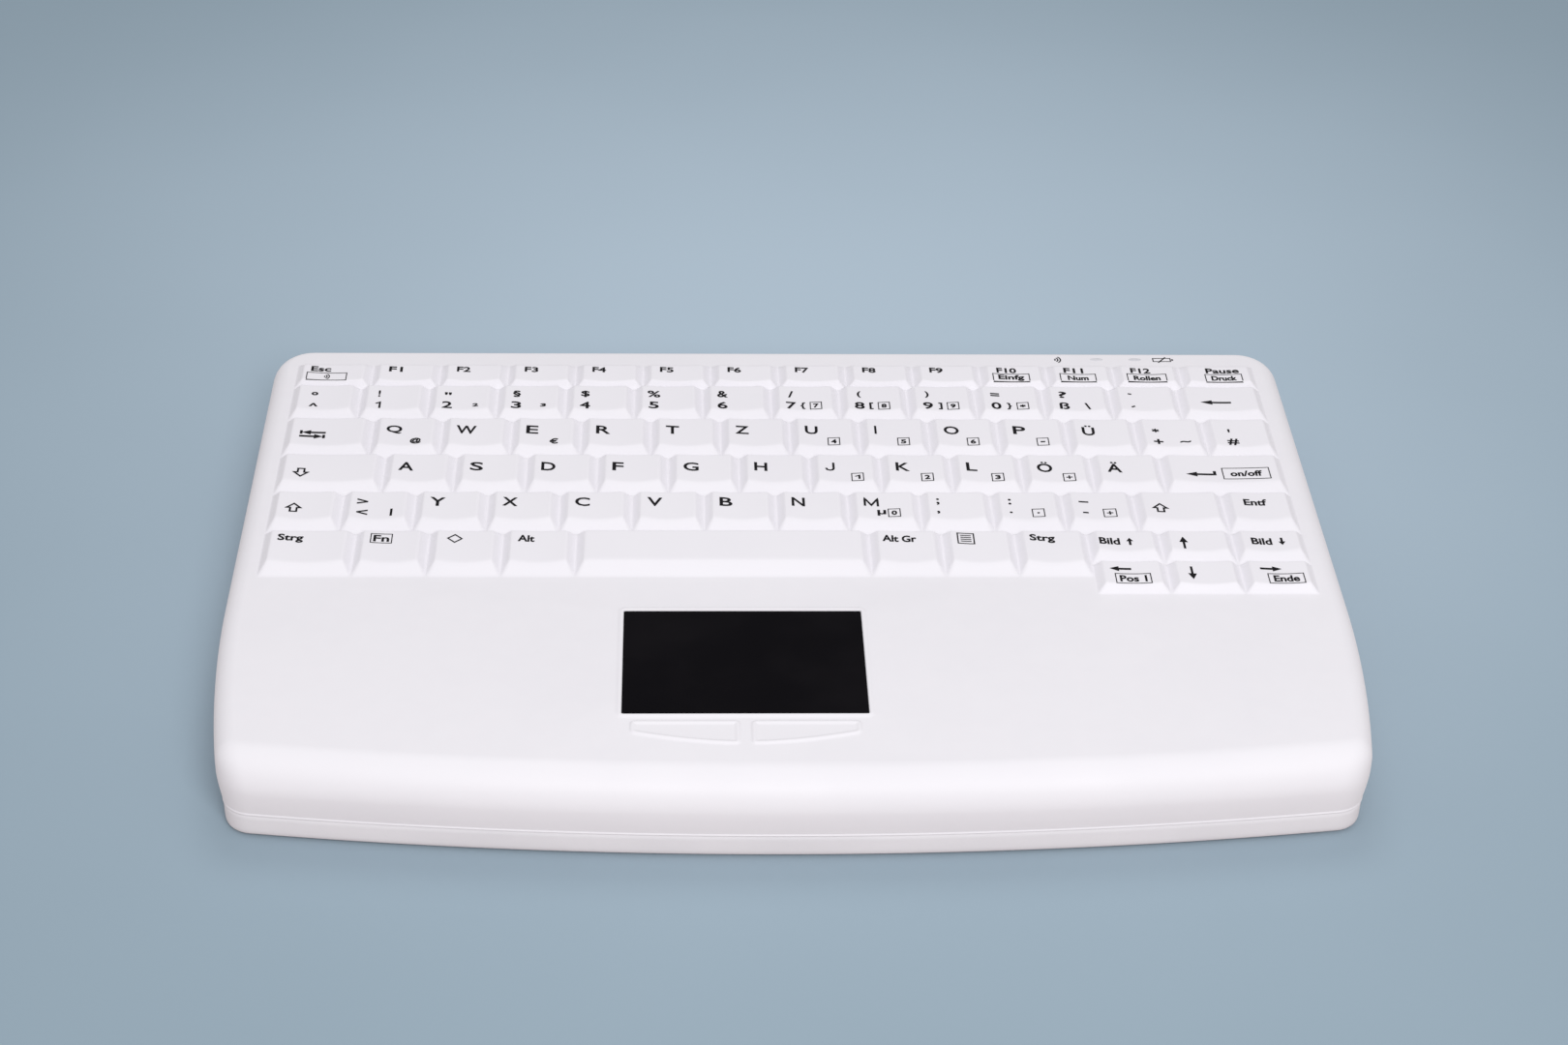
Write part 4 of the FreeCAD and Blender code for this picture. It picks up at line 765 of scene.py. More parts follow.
def fitted(shapes, height, width):
    """Shapes brought to a height and a width, with their middle on the origin."""
    xs = [x for points, _ in shapes for x, _ in points]
    ys = [y for points, _ in shapes for _, y in points]
    centred = moved(shapes, -(min(xs) + max(xs)) / 2, -(min(ys) + max(ys)) / 2)
    return scaled(centred, width / (max(xs) - min(xs)), height / (max(ys) - min(ys)))


def bolder(points, faces):
    """Filled outlines with their border moved outwards."""
    edges = [(face[i - 1], face[i]) for face in faces for i in range(len(face))]
    shared = set(edges)
    pushes = [Vector((0, 0)) for _ in points]
    for start, end in edges:
        if (end, start) not in shared:
            along = Vector(points[end]) - Vector(points[start])
            away = Vector((along.y, -along.x)).normalized()
            pushes[start] += away
            pushes[end] += away
    steps = [push.normalized() * BOLD / max(push.length / 2, LEAST_PUSH) for push in pushes]
    return [(x + step.x, y + step.y) for (x, y), step in zip(points, steps)], faces


def written(text, height, width):
    """A text in its final size and weight."""
    slim = fitted(text_shapes(text), height - 2 * BOLD, width - 2 * BOLD)
    return [bolder(*shape) for shape in slim]


print(len(written("Esc", 2.8, 5.6)[0][0]), "points in Esc")

# %% [markdown]
# ## The keys of each row
# A key is the body it moves with, its width in key pitches and its marks. A mark is a text or a
# sign with the printing line it stands on and the distance of its middle from the left edge of
# the key; a text also has a height and a width, and some marks stand in a frame. Letters, digits
# and function keys repeat one layout each, so each has a function.

# %% Keys and their marks
FRAME_STROKE = 0.27
SMALL_FRAME = (3.1, 3.7)
CAPITAL = 4.2
UMLAUT_CAPITAL = CAPITAL * 1.24
LETTER_LEFT = 4.05
DIGIT_MIDDLE = 5.45
FUNCTION_LEFT = 4.7
LETTER_WIDTHS = {
    "A": 3.9, "Ä": 3.9, "B": 3.4, "C": 3.9, "D": 3.8, "E": 3.3, "F": 3.0, "G": 4.1, "H": 3.5, "I": 0.6,
    "J": 2.6, "K": 3.7, "L": 2.9, "M": 4.0, "N": 3.5, "O": 4.2, "Ö": 4.2, "P": 3.5, "Q": 4.3, "R": 3.8,
    "S": 3.5, "T": 3.6, "U": 3.5, "Ü": 3.5, "V": 3.9, "W": 5.4, "X": 3.9, "Y": 3.9, "Z": 3.6,
}


def key(body, *marks, width=1.0):
    return {"body": body, "width": width, "marks": marks}


def mark(line, shape, x, height=None, width=None, frame=None):
    """A text or a sign; a frame is the width and height of a box round it."""
    return {"line": line, "shape": shape, "x": x, "height": height, "width": width, "frame": frame}


def letter(name, *more):
    width = LETTER_WIDTHS[name.upper()]
    capital = mark("upper", name.upper(), LETTER_LEFT + width / 2, CAPITAL, width)
    return key(f"key_{name}", capital, *more)


def umlaut(name, *more):
    width = LETTER_WIDTHS[name]
    return key("sign_keys", mark("upper", name, LETTER_LEFT + width / 2, UMLAUT_CAPITAL, width), *more)


def pad_digit(text, x):
    return mark("lower", text, x, 2.1, 1.5, SMALL_FRAME)


def digit(shifted, shifted_width, text, *more, height=3.5):
    shifted_mark = mark("upper", shifted, DIGIT_MIDDLE, height, shifted_width)
    plain_mark = mark("lower", text, DIGIT_MIDDLE, 3.6, 1.5 if text == "1" else 2.8)
    return key("number_keys", shifted_mark, plain_mark, *more)


def function(number, *more):
    width = 3.8 if number < 10 else 5.6
    return key("function_keys", mark("upper", f"F{number}", FUNCTION_LEFT + width / 2, 2.8, width), *more)


print(len(LETTER_WIDTHS), "letters")

# %% [markdown]
# The rear rows hold the function keys and the digits. Their small framed words and digits belong
# to a second layer of each key. Like all rows they are written from left to right.

# %% Function row and number row
function_row = [
    key("function_keys", mark("upper", "Esc", 7.1, 2.8, 5.6),
        mark("lower", waves(0.62), 8.9, frame=(11.0, 3.9)), width=1.125),
    *(function(number) for number in range(1, 10)),
    function(10, mark("lower", "Einfg", 8.6, 3.3, 7.3, (10.2, 4.2))),
    function(11, mark("lower", "Num", 8.5, 2.5, 5.9, (10.0, 4.2))),
    function(12, mark("lower", "Rollen", 9.0, 2.5, 7.6, (11.0, 4.2))),
    key("function_keys", mark("upper", "Pause", 11.8, 2.8, 9.4),
        mark("lower", "Druck", 11.8, 2.6, 7.1, (10.3, 4.2)), width=1.125),
]
number_row = [
    key("number_keys", mark("upper", "°", 6.6, 1.8, 1.9), mark("lower", "^", 6.7, 1.8, 2.4)),
    digit("!", 0.6, "1"),
    digit('"', 1.9, "2", mark("lower", "2", 13.2, 1.7, 1.6), height=1.4),
    digit("§", 2.2, "3", mark("lower", "3", 12.9, 1.7, 1.6)),
    digit("$", 2.4, "4"),
    digit("%", 3.6, "5"),
    digit("&", 2.9, "6"),
    digit("/", 1.4, "7", mark("lower", "{", 8.7, 3.6, 1.3), pad_digit("7", 12.3)),
    digit("(", 1.1, "8", mark("lower", "[", 8.7, 3.6, 1.1), pad_digit("8", 12.2)),
    digit(")", 1.1, "9", mark("lower", "]", 8.9, 3.6, 1.1), pad_digit("9", 12.4)),
    digit("=", 2.5, "0", mark("lower", "}", 9.1, 3.6, 1.3),
          mark("lower", "*", 12.8, 1.5, 1.6, (3.1, 3.5)), height=1.7),
    digit("?", 2.2, "ß", mark("lower", "\\", 11.9, 3.4, 1.5)),
    key("number_keys", mark("upper", tick(-1), 5.3), mark("lower", tick(1), 5.6)),
    key("backspace_key", mark("middle", arrow(-1, 0, 8.6, 3.3), 9.9), width=1.25),
]
print(len(function_row), "function keys,", len(number_row), "number keys")

# %% [markdown]
# Three rows of letters follow. Most letter keys carry their letter alone, so a loop makes them.

# %% The rows of letters
upper_row = [
    key("tab_and_caps_keys", mark("middle", tab(), 8.0), width=1.25),
    letter("q", mark("lower", "@", 12.3, 3.0, 3.0)),
    letter("w"),
    letter("e", mark("lower", "€", 11.7, 2.8, 2.3)),
    *(letter(name) for name in "rtz"),
    *(letter(name, pad_digit(text, 11.75)) for name, text in zip("uio", "456")),
    letter("p", mark("lower", bar(1.3), 11.8, frame=SMALL_FRAME)),
    umlaut("Ü"),
    key("sign_keys", mark("upper", "*", 5.3, 1.9, 2.0), mark("lower", plus(2.6), 5.5),
        mark("lower", "~", 12.9, 0.9, 3.0)),
    key("sign_keys", mark("upper", "'", 6.5, 1.7, 0.6), mark("lower", "#", 7.0, 3.4, 3.2)),
]
home_row = [
    key("tab_and_caps_keys", mark("middle", shift(-1), 6.8), width=1.5),
    *(letter(name) for name in "asdfgh"),
    letter("j", pad_digit("1", 12.6)),
    letter("k", pad_digit("2", 12.3)),
    letter("l", pad_digit("3", 12.2)),
    umlaut("Ö", mark("lower", plus(1.7), 12.4, frame=SMALL_FRAME)),
    umlaut("Ä"),
    key("enter_key", mark("middle", enter(), 9.9), mark("middle", "on/off", 22.3, 2.8, 8.6, (12.6, 5.4)),
        width=1.75),
]
lower_row = [
    key("left_shift_key", mark("middle", shift(1), 6.6)),
    key("sign_keys", mark("upper", ">", 5.4, 2.5, 2.9), mark("lower", "<", 5.6, 2.5, 2.9),
        mark("lower", bar(0.0, 3.4), 13.2)),
    *(letter(name) for name in "yxcvbn"),
    letter("m", mark("lower", "µ", 8.6, 2.8, 2.3), pad_digit("0", 11.9)),
    key("sign_keys", mark("upper", ";", 4.7, 3.2, 0.8), mark("lower", ",", 4.6, 1.4, 0.8)),
    key("sign_keys", mark("upper", ":", 4.7, 2.8, 0.8), mark("lower", ".", 4.7, 0.8, 0.8),
        mark("lower", ".", 11.9, 0.7, 0.7, SMALL_FRAME)),
    key("sign_keys", mark("upper", bar(2.6), 5.3), mark("lower", bar(1.5), 5.4),
        mark("lower", plus(1.7), 11.8, frame=(3.3, 3.7))),
    key("right_shift_key", mark("middle", shift(1), 6.4), width=1.25),
    key("navigation_keys", mark("upper", "Entf", 8.2, 3.1, 6.1)),
]
print([len(row) for row in (upper_row, home_row, lower_row)], "keys in the rows of letters")

# %% [markdown]
# The space bar has its own row with the modifier keys, and the arrows stand in two short rows of
# low keys beside it. The two page keys show their word with a small arrow behind it.

# %% Space bar and arrows
def page_key(way, middle):
    word = mark("upper", "Bild", middle, 3.1, 5.4)
    return key("navigation_keys", word, mark("upper", arrow(0, way, 3.4, 1.6), middle + 5.3))


space_row = [
    key("modifier_keys", mark("upper", "Strg", 7.3, 3.9, 6.6), width=1.25),
    key("modifier_keys", mark("upper", "Fn", 6.9, 3.0, 4.1, (5.4, 4.2))),
    key("modifier_keys", mark("upper", diamond(), 6.8)),
    key("modifier_keys", mark("upper", "Alt", 6.2, 3.1, 4.3)),
    key("space_bar", width=4.0),
    key("modifier_keys", mark("upper", "Alt Gr", 7.7, 3.1, 8.8)),
    key("modifier_keys", mark("upper", menu(), 6.0)),
    key("modifier_keys", mark("upper", "Strg", 6.9, 3.9, 6.6)),
]
first_arrows = [
    page_key(1, 5.3),
    key("navigation_keys", mark("middle", arrow(0, 1, 5.6, 2.6), 5.6)),
    page_key(-1, 7.0),
]
second_arrows = [
    key("navigation_keys", mark("upper", arrow(-1, 0, 5.6, 2.4), 6.6),
        mark("lower", "Pos 1", 9.5, 2.9, 7.0, (9.0, 4.3))),
    key("navigation_keys", mark("middle", arrow(0, -1, 5.8, 2.6), 5.9)),
    key("navigation_keys", mark("upper", arrow(1, 0, 5.6, 2.4), 7.4),
        mark("lower", "Ende", 10.8, 2.9, 6.6, (9.1, 4.3))),
]
print(len(space_row), "keys with the space bar,", len(first_arrows + second_arrows), "with the arrows")

# %% [markdown]
# ## The key field
# Every key is a cell of the field, from valley to valley. A row gives its rear and its front
# valley, the runs of its front and rear skirts, and how far its printing lines are from the rear
# valley. The skirts that face the user are long and flat, those that face away are steep. The
# function keys are the other way round, so that they lean on the edge behind them. The tops are
# hollow to fit a finger, except that of the space bar, which a thumb strikes along its length.

# %% Cells of the keys
PITCH = 19.0
FIELD_UNITS = 14.25
FIELD_HALF = FIELD_UNITS * PITCH / 2
ARROW_START = FIELD_HALF - 3 * PITCH
VALLEYS = [92.6, 79.5, 61.8, 42.8, 23.9, 5.2, -15.0]
ARROW_VALLEYS = [5.2, -9.3, -22.8]
HOLLOW = 0.45


def row_of(keys, valleys, front_run, rear_run, left=-FIELD_HALF, **lines):
    """The cells of a row, from left to right."""
    rear, front = valleys
    row = []
    for item in keys:
        right = left + item["width"] * PITCH
        hollow = 0.0 if item["body"] == "space_bar" else HOLLOW
        place = {"left": left, "right": right, "front": front, "rear": rear, "hollow": hollow}
        row.append({**item, **place, "front_run": front_run, "rear_run": rear_run, "lines": lines})
        left = right
    return row


cells = (
    row_of(function_row, VALLEYS[0:2], 1.7, 3.3, upper=5.4, lower=9.5)
    + row_of(number_row, VALLEYS[1:3], 3.7, 1.7, upper=5.9, middle=9.8, lower=11.9)
    + row_of(upper_row, VALLEYS[2:4], 3.8, 1.7, upper=7.4, middle=10.0, lower=13.2)
    + row_of(home_row, VALLEYS[3:5], 4.5, 1.6, upper=7.4, middle=10.5, lower=12.5)
    + row_of(lower_row, VALLEYS[4:6], 4.7, 1.6, upper=6.1, middle=9.0, lower=11.3)
    + row_of(space_row, VALLEYS[5:7], 4.7, 1.8, upper=5.1)
    + row_of(first_arrows, ARROW_VALLEYS[0:2], 4.2, 1.8, ARROW_START, upper=6.3, middle=7.0)
    + row_of(second_arrows, ARROW_VALLEYS[1:3], 2.2, 1.5, ARROW_START, upper=4.7, middle=6.6, lower=9.1)
)
bodies = sorted({cell["body"] for cell in cells})

# %% [markdown]
# ### The form of a key
# The silicone runs over the hard caps without a gap, so the whole field is one landscape. A
# height for each point says it best: four ramps rise from the edges of the cell, the lowest ramp
# counts, and the hollowed top cuts them off. A smooth minimum in place of a sharp one rounds the
# ridges and the rim as a mould does, and a parabola at the foot rounds the valley.

# %% Height of a key's skin
RIM = 2.29
SIDE_RUN = 2.3
RIDGE_ROUND = 0.55
RIM_ROUND = 0.35
VALLEY_ROUND = 0.45


def smooth_min(first, second, width):
    overlap = max(width - abs(first - second), 0.0)
    return min(first, second) - overlap**2 / (4 * width)


def key_level(cell, x, y):
    """Height of the skin over a point of a cell, in millimetres above the table."""
    foot = VALLEY_ROUND / 2
    rise = RIM + foot
    sides = min(x - cell["left"], cell["right"] - x) * rise / SIDE_RUN
    near = (y - cell["front"]) * rise / cell["front_run"]
    far = (cell["rear"] - y) * rise / cell["rear_run"]
    middle = (cell["left"] + cell["right"]) / 2
    reach = (cell["right"] - cell["left"]) / 2 - SIDE_RUN
    across = min(abs(x - middle) / reach, 1.0)
    top = rise - cell["hollow"] * (1 - across**2)
    height = smooth_min(smooth_min(sides, min(near, far), RIDGE_ROUND), top, RIM_ROUND)
    height = max(height, 0.0)
    if height < VALLEY_ROUND:
        return PALM_LEVEL + height**2 / (2 * VALLEY_ROUND)
    return PALM_LEVEL + height - foot


def middle_of(cell):
    return (cell["left"] + cell["right"]) / 2, (cell["front"] + cell["rear"]) / 2


sample = cells[30]
print("the hollow of", sample["body"], "lies at", round(key_level(sample, *middle_of(sample)), 2), "mm")

# %% [markdown]
# The landscape becomes a mesh on a grid whose lines crowd together where the form turns quickly:
# at the foot and at the rim. The wide quiet middle needs few lines. The lines across a skirt are
# given as shares of its run.

# %% The grid over a cell
SKIRT_LINES = (0, 0.08, 0.18, 0.32, 0.5, 0.68, 0.82, 0.91, 1.0, 1.1, 1.25, 1.5)
QUIET_STEP = 1.9


def grid_lines(start, end, first_run, last_run):
    first = [start + share * first_run for share in SKIRT_LINES]
    last = [end - share * last_run for share in SKIRT_LINES[::-1]]
    gap = last[0] - first[-1]
    count = max(ceil(gap / QUIET_STEP), 1)
    return first + [first[-1] + gap * i / count for i in range(1, count)] + last


def add_key(mesh, cell):
    columns = grid_lines(cell["left"], cell["right"], SIDE_RUN, SIDE_RUN)
    rows = grid_lines(cell["front"], cell["rear"], cell["front_run"], cell["rear_run"])
    points = [[mesh.verts.new(metres(x, y, key_level(cell, x, y))) for x in columns] for y in rows]
    for near, far in zip(points, points[1:]):
        for i in range(len(columns) - 1):
            mesh.faces.new((near[i], near[i + 1], far[i + 1], far[i]))


print(len(grid_lines(0, PITCH, SIDE_RUN, SIDE_RUN)), "lines across a letter key")

# %% [markdown]
# ### Printing
# The flat shapes of a mark are laid onto the landscape point by point, a few hundredths of a
# millimetre above the rubber. So they follow the hollow, and they are part of the same mesh as the
# key's skin. The print never stands higher than the rim, which is as far as the keyboard may
# reach.

# %% Marks on the landscape
PRINT_GAP = 0.06


def mark_shapes(item):
    """The shapes of a mark round the origin, with its frame."""
    shapes = item["shape"]
    if isinstance(shapes, str):
        shapes = written(shapes, item["height"], item["width"])
    if item["frame"]:
        wide, high = item["frame"][0] / 2, item["frame"][1] / 2
        corners = [(-wide, -high), (wide, -high), (wide, high), (-wide, high)]
        shapes = shapes + [stroke(corners, FRAME_STROKE, closed=True)]
    return shapes


def print_level(cell, x, y):
    return PALM_LEVEL + min(key_level(cell, x, y) - PALM_LEVEL + PRINT_GAP, RIM)


def add_print(mesh, cell, item):
    y = cell["rear"] - cell["lines"][item["line"]]
    for points, faces in moved(mark_shapes(item), cell["left"] + item["x"], y):
        verts = [mesh.verts.new(metres(px, py, print_level(cell, px, py))) for px, py in points]
        for face in faces:
            made = mesh.faces.new([verts[i] for i in face])
            made.material_index = 1


print(sum(len(cell["marks"]) for cell in cells), "marks to print")

# %% [markdown]
# ### One skin per moving key
# Pressing a key stretches the rubber between its rim and the valley. Each key body therefore gets
# its own piece of skin, made of all the cells that move with it. At rest the edges of neighbouring
# pieces meet exactly, so the field looks like one skin.


def lettered_skin(body):
    mesh = bmesh.new()
    own = [cell for cell in cells if cell["body"] == body]
    for cell in own:
        add_key(mesh, cell)
    for cell in own:
        for item in cell["marks"]:
            add_print(mesh, cell, item)
    piece = finish_piece(mesh, f"{body}_skin", key_silicone, legend_ink)
    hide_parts(body)
    middle = middle_of(own[0])
    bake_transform(piece)
    return piece


for body in bodies:
    lettered_skin(body)


# %% [markdown]
# ## The touchpad's window and its two buttons
# The skin ends round the touchpad in a raised bead, and two flat buttons are moulded into it below
# the window. Loops of points, each a little further in than the one before, carry these profiles
# round. The window's corners are true arcs with a fixed number of points, so that its loops match.

# %% Rounded loops
WINDOW_CORNER = 0.5
LEAST_WINDOW_CORNER = 0.3
SURFACE_LIP = 1.75
surface_low, surface_high = box_of("touchpad_surface")


def rounded_loop(corners, radius, steps=6):
    """A closed line through corners, each of them rounded."""
    loop = []
    count = len(corners)
    for i, corner in enumerate(corners):
        here = Vector(corner)
        back = (Vector(corners[i - 1]) - here).normalized()
        ahead = (Vector(corners[(i + 1) % count]) - here).normalized()
        half = back.angle(ahead) / 2
        cut = radius * cos(half) / sin(half)
        centre = here + (back + ahead).normalized() * radius / sin(half)
        start, end = here + back * cut, here + ahead * cut
        loop += arc(centre, start, end, steps) + [tuple(end)]
    return loop


def window_loop(out):
    """The edge of the window moved outwards; the surface below is a lip wider all round."""
    west, south, _ = (value + SURFACE_LIP - out for value in surface_low)
    east, north, _ = (value - SURFACE_LIP + out for value in surface_high)
    corners = [(west, south), (east, south), (east, north), (west, north)]
    return rounded_loop(corners, max(WINDOW_CORNER + out, LEAST_WINDOW_CORNER))


print(len(window_loop(0)), "points round the window")

# %% [markdown]
# The buttons' edge needs two more moves. `softened` turns sharp corners into short curves and
# leaves the line as it is where it bends only a little, as along an arc. `grown` moves a loop
# along its own normals, so that a margin or a bead keeps the same distance from any edge.

# %% Softened and grown loops
NEARLY_STRAIGHT = radians(150)


def softened(corners, cut):
    """A closed line whose sharp corners are short curves."""
    loop = []
    count = len(corners)
    for i, corner in enumerate(corners):
        here = Vector(corner)
        back, ahead = Vector(corners[i - 1]) - here, Vector(corners[(i + 1) % count]) - here
        if back.angle(ahead) > NEARLY_STRAIGHT:
            loop.append(corner)
            continue
        start, end = here + back.normalized() * cut, here + ahead.normalized() * cut
        for t in (0, 0.2, 0.4, 0.6, 0.8, 1):
            loop.append(tuple(start * (1 - t) ** 2 + here * 2 * t * (1 - t) + end * t**2))
    return loop


def grown(loop, distance):
    """A loop moved outwards, or inwards by a negative distance."""
    made = []
    count = len(loop)
    for i, (x, y) in enumerate(loop):
        before, after = Vector(loop[i - 1]), Vector(loop[(i + 1) % count])
        along = (after - before).normalized()
        made.append((x + along.y * distance, y - along.x * distance))
    return made


print(len(softened(square, 0.2)), "points round a softened square")

# %% [markdown]
# Together the front edges of the two buttons form one shallow arc, which rises faster towards its
# ends. The frame says where the buttons are; only how far the arc rises is a size of its own. The
# left edge is the right one mirrored.

# %% The edge of a pad button
button_low, button_high = box_of("pad_button_right")
PAD_X = (surface_low[0] + surface_high[0]) / 2
BUTTON_NEAR = button_low[0] - PAD_X
BUTTON_FAR = button_high[0] - PAD_X
BUTTON_FRONT, BUTTON_REAR = button_low[1], button_high[1]
BUTTON_OUTER_FRONT = -81.5
BUTTON_CORNER = 1.3
FRONT_STEPS = 10


def button_loop(side):
    """The edge of a pad button: straight behind, an arc in front."""
    width = BUTTON_FAR - BUTTON_NEAR
    drop = BUTTON_OUTER_FRONT - BUTTON_FRONT
    shares = [i / FRONT_STEPS for i in range(FRONT_STEPS + 1)]
    corners = [(BUTTON_NEAR + width * share, BUTTON_FRONT + drop * share**1.7) for share in shares]
    corners += [(BUTTON_FAR, BUTTON_REAR), (BUTTON_NEAR, BUTTON_REAR)]
    if side < 0:
        corners = [(-x, y) for x, y in corners[::-1]]
    return [(x + PAD_X, y) for x, y in softened(corners, BUTTON_CORNER)]


print(len(button_loop(1)), "points round a button")

# %% [markdown]
# Each button is a low plateau with a slim bead along its edge. The profile is a short list: how
# far out from the edge, and how high above the palm rest. A button gives less than half a
# millimetre when it is pressed.

# %% Skins of the pad buttons
BUTTON_PROFILE = [(0.9, 0.0), (0.5, 0.0), (0.25, 0.07), (0.05, 0.22), (-0.2, 0.35), (-0.5, 0.38),
                  (-0.75, 0.32), (-1.0, 0.2), (-1.3, 0.12), (-1.6, 0.1)]
BUTTON_MARGIN = BUTTON_PROFILE[0][0]


def button_skin(side, name):
    mesh = bmesh.new()
    edge = button_loop(side)
    loops = [add_loop(mesh, grown(edge, out), PALM_LEVEL + rise) for out, rise in BUTTON_PROFILE]
    join_loops(mesh, loops)
    last_out, last_rise = BUTTON_PROFILE[-1]
    fill_flat(mesh, grown(edge, last_out), [], PALM_LEVEL + last_rise)
    piece = finish_piece(mesh, f"{name}_skin", skin_silicone)
    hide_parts(name)
    x = PAD_X + side * (BUTTON_NEAR + BUTTON_FAR) / 2
    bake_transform(piece)
    return piece


button_skin(-1, "pad_button_left")
button_skin(1, "pad_button_right")

# %% [markdown]
# ## The skin
# The skin is one shell: a bead at the seam, flanks that lean out to the widest line, the rounded
# shoulder and the flat deck with its openings. The shoulder is round to 8.5 mm at the front, where
# the wrists lie, and tighter at the sides and the rear. The three arcs reach the deck at the same
# level, so each level takes its own distance in from every edge: the sides, the front, the rear.

# %% Levels of the skin
SEAM = box_of("cover_skin")[0][2]
WIDEST = 15.5
TUCK = 2.2
TUCK_SHARES = (0.5, 0.9, 1.0)
SIDE_ROUND = 5.0
FRONT_ROUND = 8.5
REAR_ROUND = 2.2
ROUNDS = (SIDE_ROUND, FRONT_ROUND, REAR_ROUND)
DECK_LIP = 0.35
BEAD = [(0.02, 3.4), (0.0, 2.1), (0.08, 1.9), (0.25, 1.82), (0.42, 1.88), (0.55, 2.03)]
FLANK_LEVELS = (7.8, 8.3, 9.2, 10.3, 11.5, 12.8, 14.2)
SHOULDER_DEGREES = (0, 12, 24, 35, 46, 56, 65, 73, 80, 85.5, 90)


def shoulder(radius, share):
    """How far a round of this radius has moved in, at a share of the height of the front round."""
    climb = max(radius - FRONT_ROUND * (1 - share), 0.0)
    return radius - sqrt(radius**2 - climb**2)


def flank(level):
    """How far the flank has drawn in at a level below the widest line."""
    return TUCK * ((WIDEST - level) / (WIDEST - SEAM)) ** 1.35


def tucked(inset):
    """An inset of the lower edges; they draw in less at the sides than in front and behind."""
    return tuple(inset * share for share in TUCK_SHARES)


skin_levels = [(SEAM + rise, tucked(inset)) for rise, inset in BEAD]
skin_levels += [(level, tucked(flank(level))) for level in FLANK_LEVELS]
for degree in SHOULDER_DEGREES:
    share = sin(radians(degree))
    skin_levels.append((WIDEST + FRONT_ROUND * share, tuple(shoulder(radius, share) for radius in ROUNDS)))
deck_edge = tuple(radius + DECK_LIP for radius in ROUNDS)
skin_levels.append((PALM_LEVEL, deck_edge))
print(len(skin_levels), "levels from", SEAM, "to", PALM_LEVEL, "mm")

# %% [markdown]
# The deck's openings are the key field, the touchpad's window and the two buttons. The key field
# has a step on its right, where the arrows reach further towards the user. The bead round the
# window is a profile of distances out from the edge and heights above the palm rest, which ends
# below the film of the touchpad.

# %% The skin's shell
WINDOW_PROFILE = [(1.9, 0.0), (1.5, 0.04), (1.2, 0.14), (0.9, 0.27), (0.6, 0.34), (0.35, 0.33),
                  (0.15, 0.24), (0.03, 0.05), (0.0, -0.3), (0.0, -1.55)]
WINDOW_MARGIN = WINDOW_PROFILE[0][0]
key_field = [(-FIELD_HALF, VALLEYS[0]), (-FIELD_HALF, VALLEYS[-1]), (ARROW_START, VALLEYS[-1]),
             (ARROW_START, ARROW_VALLEYS[-1]), (FIELD_HALF, ARROW_VALLEYS[-1]), (FIELD_HALF, VALLEYS[0])]


def build_skin():
    mesh = bmesh.new()
    join_loops(mesh, [add_loop(mesh, outline(*insets), level) for level, insets in skin_levels])
    join_loops(mesh, [add_loop(mesh, window_loop(out), PALM_LEVEL + rise) for out, rise in WINDOW_PROFILE])
    holes = [key_field, window_loop(WINDOW_MARGIN)]
    holes += [grown(button_loop(side), BUTTON_MARGIN) for side in (-1, 1)]
    fill_flat(mesh, outline(*deck_edge), holes, PALM_LEVEL)
    piece = finish_piece(mesh, "skin_shell", skin_silicone)
    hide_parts("cover_skin")
    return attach(piece, "housing")


build_skin()

# %% [markdown]
# The black film of the touchpad lies just below the bead and fills the window from edge to edge.
# Its rim is a hair wider than the window, so that no gap shows, and turned down, so that it has
# the edge of a real film. The profile is given round the level of the film.

# %% Touchpad film
PAD_LEVEL = 23.85
PAD_PROFILE = [(0.1, -1.2), (0.1, -0.1), (0.0, 0.0), (-0.4, 0.0)]


def build_pad_film():
    mesh = bmesh.new()
    loops = [add_loop(mesh, window_loop(out), PAD_LEVEL + rise) for out, rise in PAD_PROFILE]
    join_loops(mesh, loops)
    mesh.faces.new(loops[-1])
    piece = finish_piece(mesh, "touchpad_film", pad_black)
    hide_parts("touchpad_surface")
    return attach(piece, "housing")


build_pad_film()

# %% [markdown]
# ## Status lights and their signs
# Behind the last keys two oval spots of thinner skin let the light through. A wireless sign and a
# battery stand beside them. The spots are low domes of a few rings and the signs are the strokes
# of above; all of it is print or moulding on the deck, not more than a tenth of a millimetre high.

# %% Spots and signs on the deck
SPOTS = [(91.3, 96.9), (102.3, 96.9)]
SPOT_HALF = (1.85, 0.85)
SPOT_RINGS = [(1.0, 0.0), (0.88, 0.05), (0.6, 0.09), (0.3, 0.1)]
SPOT_STEPS = 32
SIGN_Y = 96.7


def build_spot(name, x, y):
    mesh = bmesh.new()
    angles = [2 * pi * i / SPOT_STEPS for i in range(SPOT_STEPS)]
    rings = []
    for share, rise in SPOT_RINGS:
        ring = [(x + SPOT_HALF[0] * share * cos(a), y + SPOT_HALF[1] * share * sin(a)) for a in angles]
        rings.append(add_loop(mesh, ring, PALM_LEVEL + rise))
    join_loops(mesh, rings)
    mesh.faces.new(rings[-1])
    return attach(finish_piece(mesh, name, spot_finish), "housing")


def build_deck_print(name, shapes, x):
    mesh = bmesh.new()
    for points, faces in moved(shapes, x, SIGN_Y):
        verts = add_loop(mesh, points, PALM_LEVEL + PRINT_GAP)
        for face in faces:
            mesh.faces.new([verts[i] for i in face])
    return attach(finish_piece(mesh, name, legend_ink), "housing")


for index, (x, y) in enumerate(SPOTS):
    build_spot(f"light_spot_{index + 1}", x, y)
build_deck_print("wireless_sign", waves(0.75), 80.0)
build_deck_print("battery_sign", battery(), 110.3)

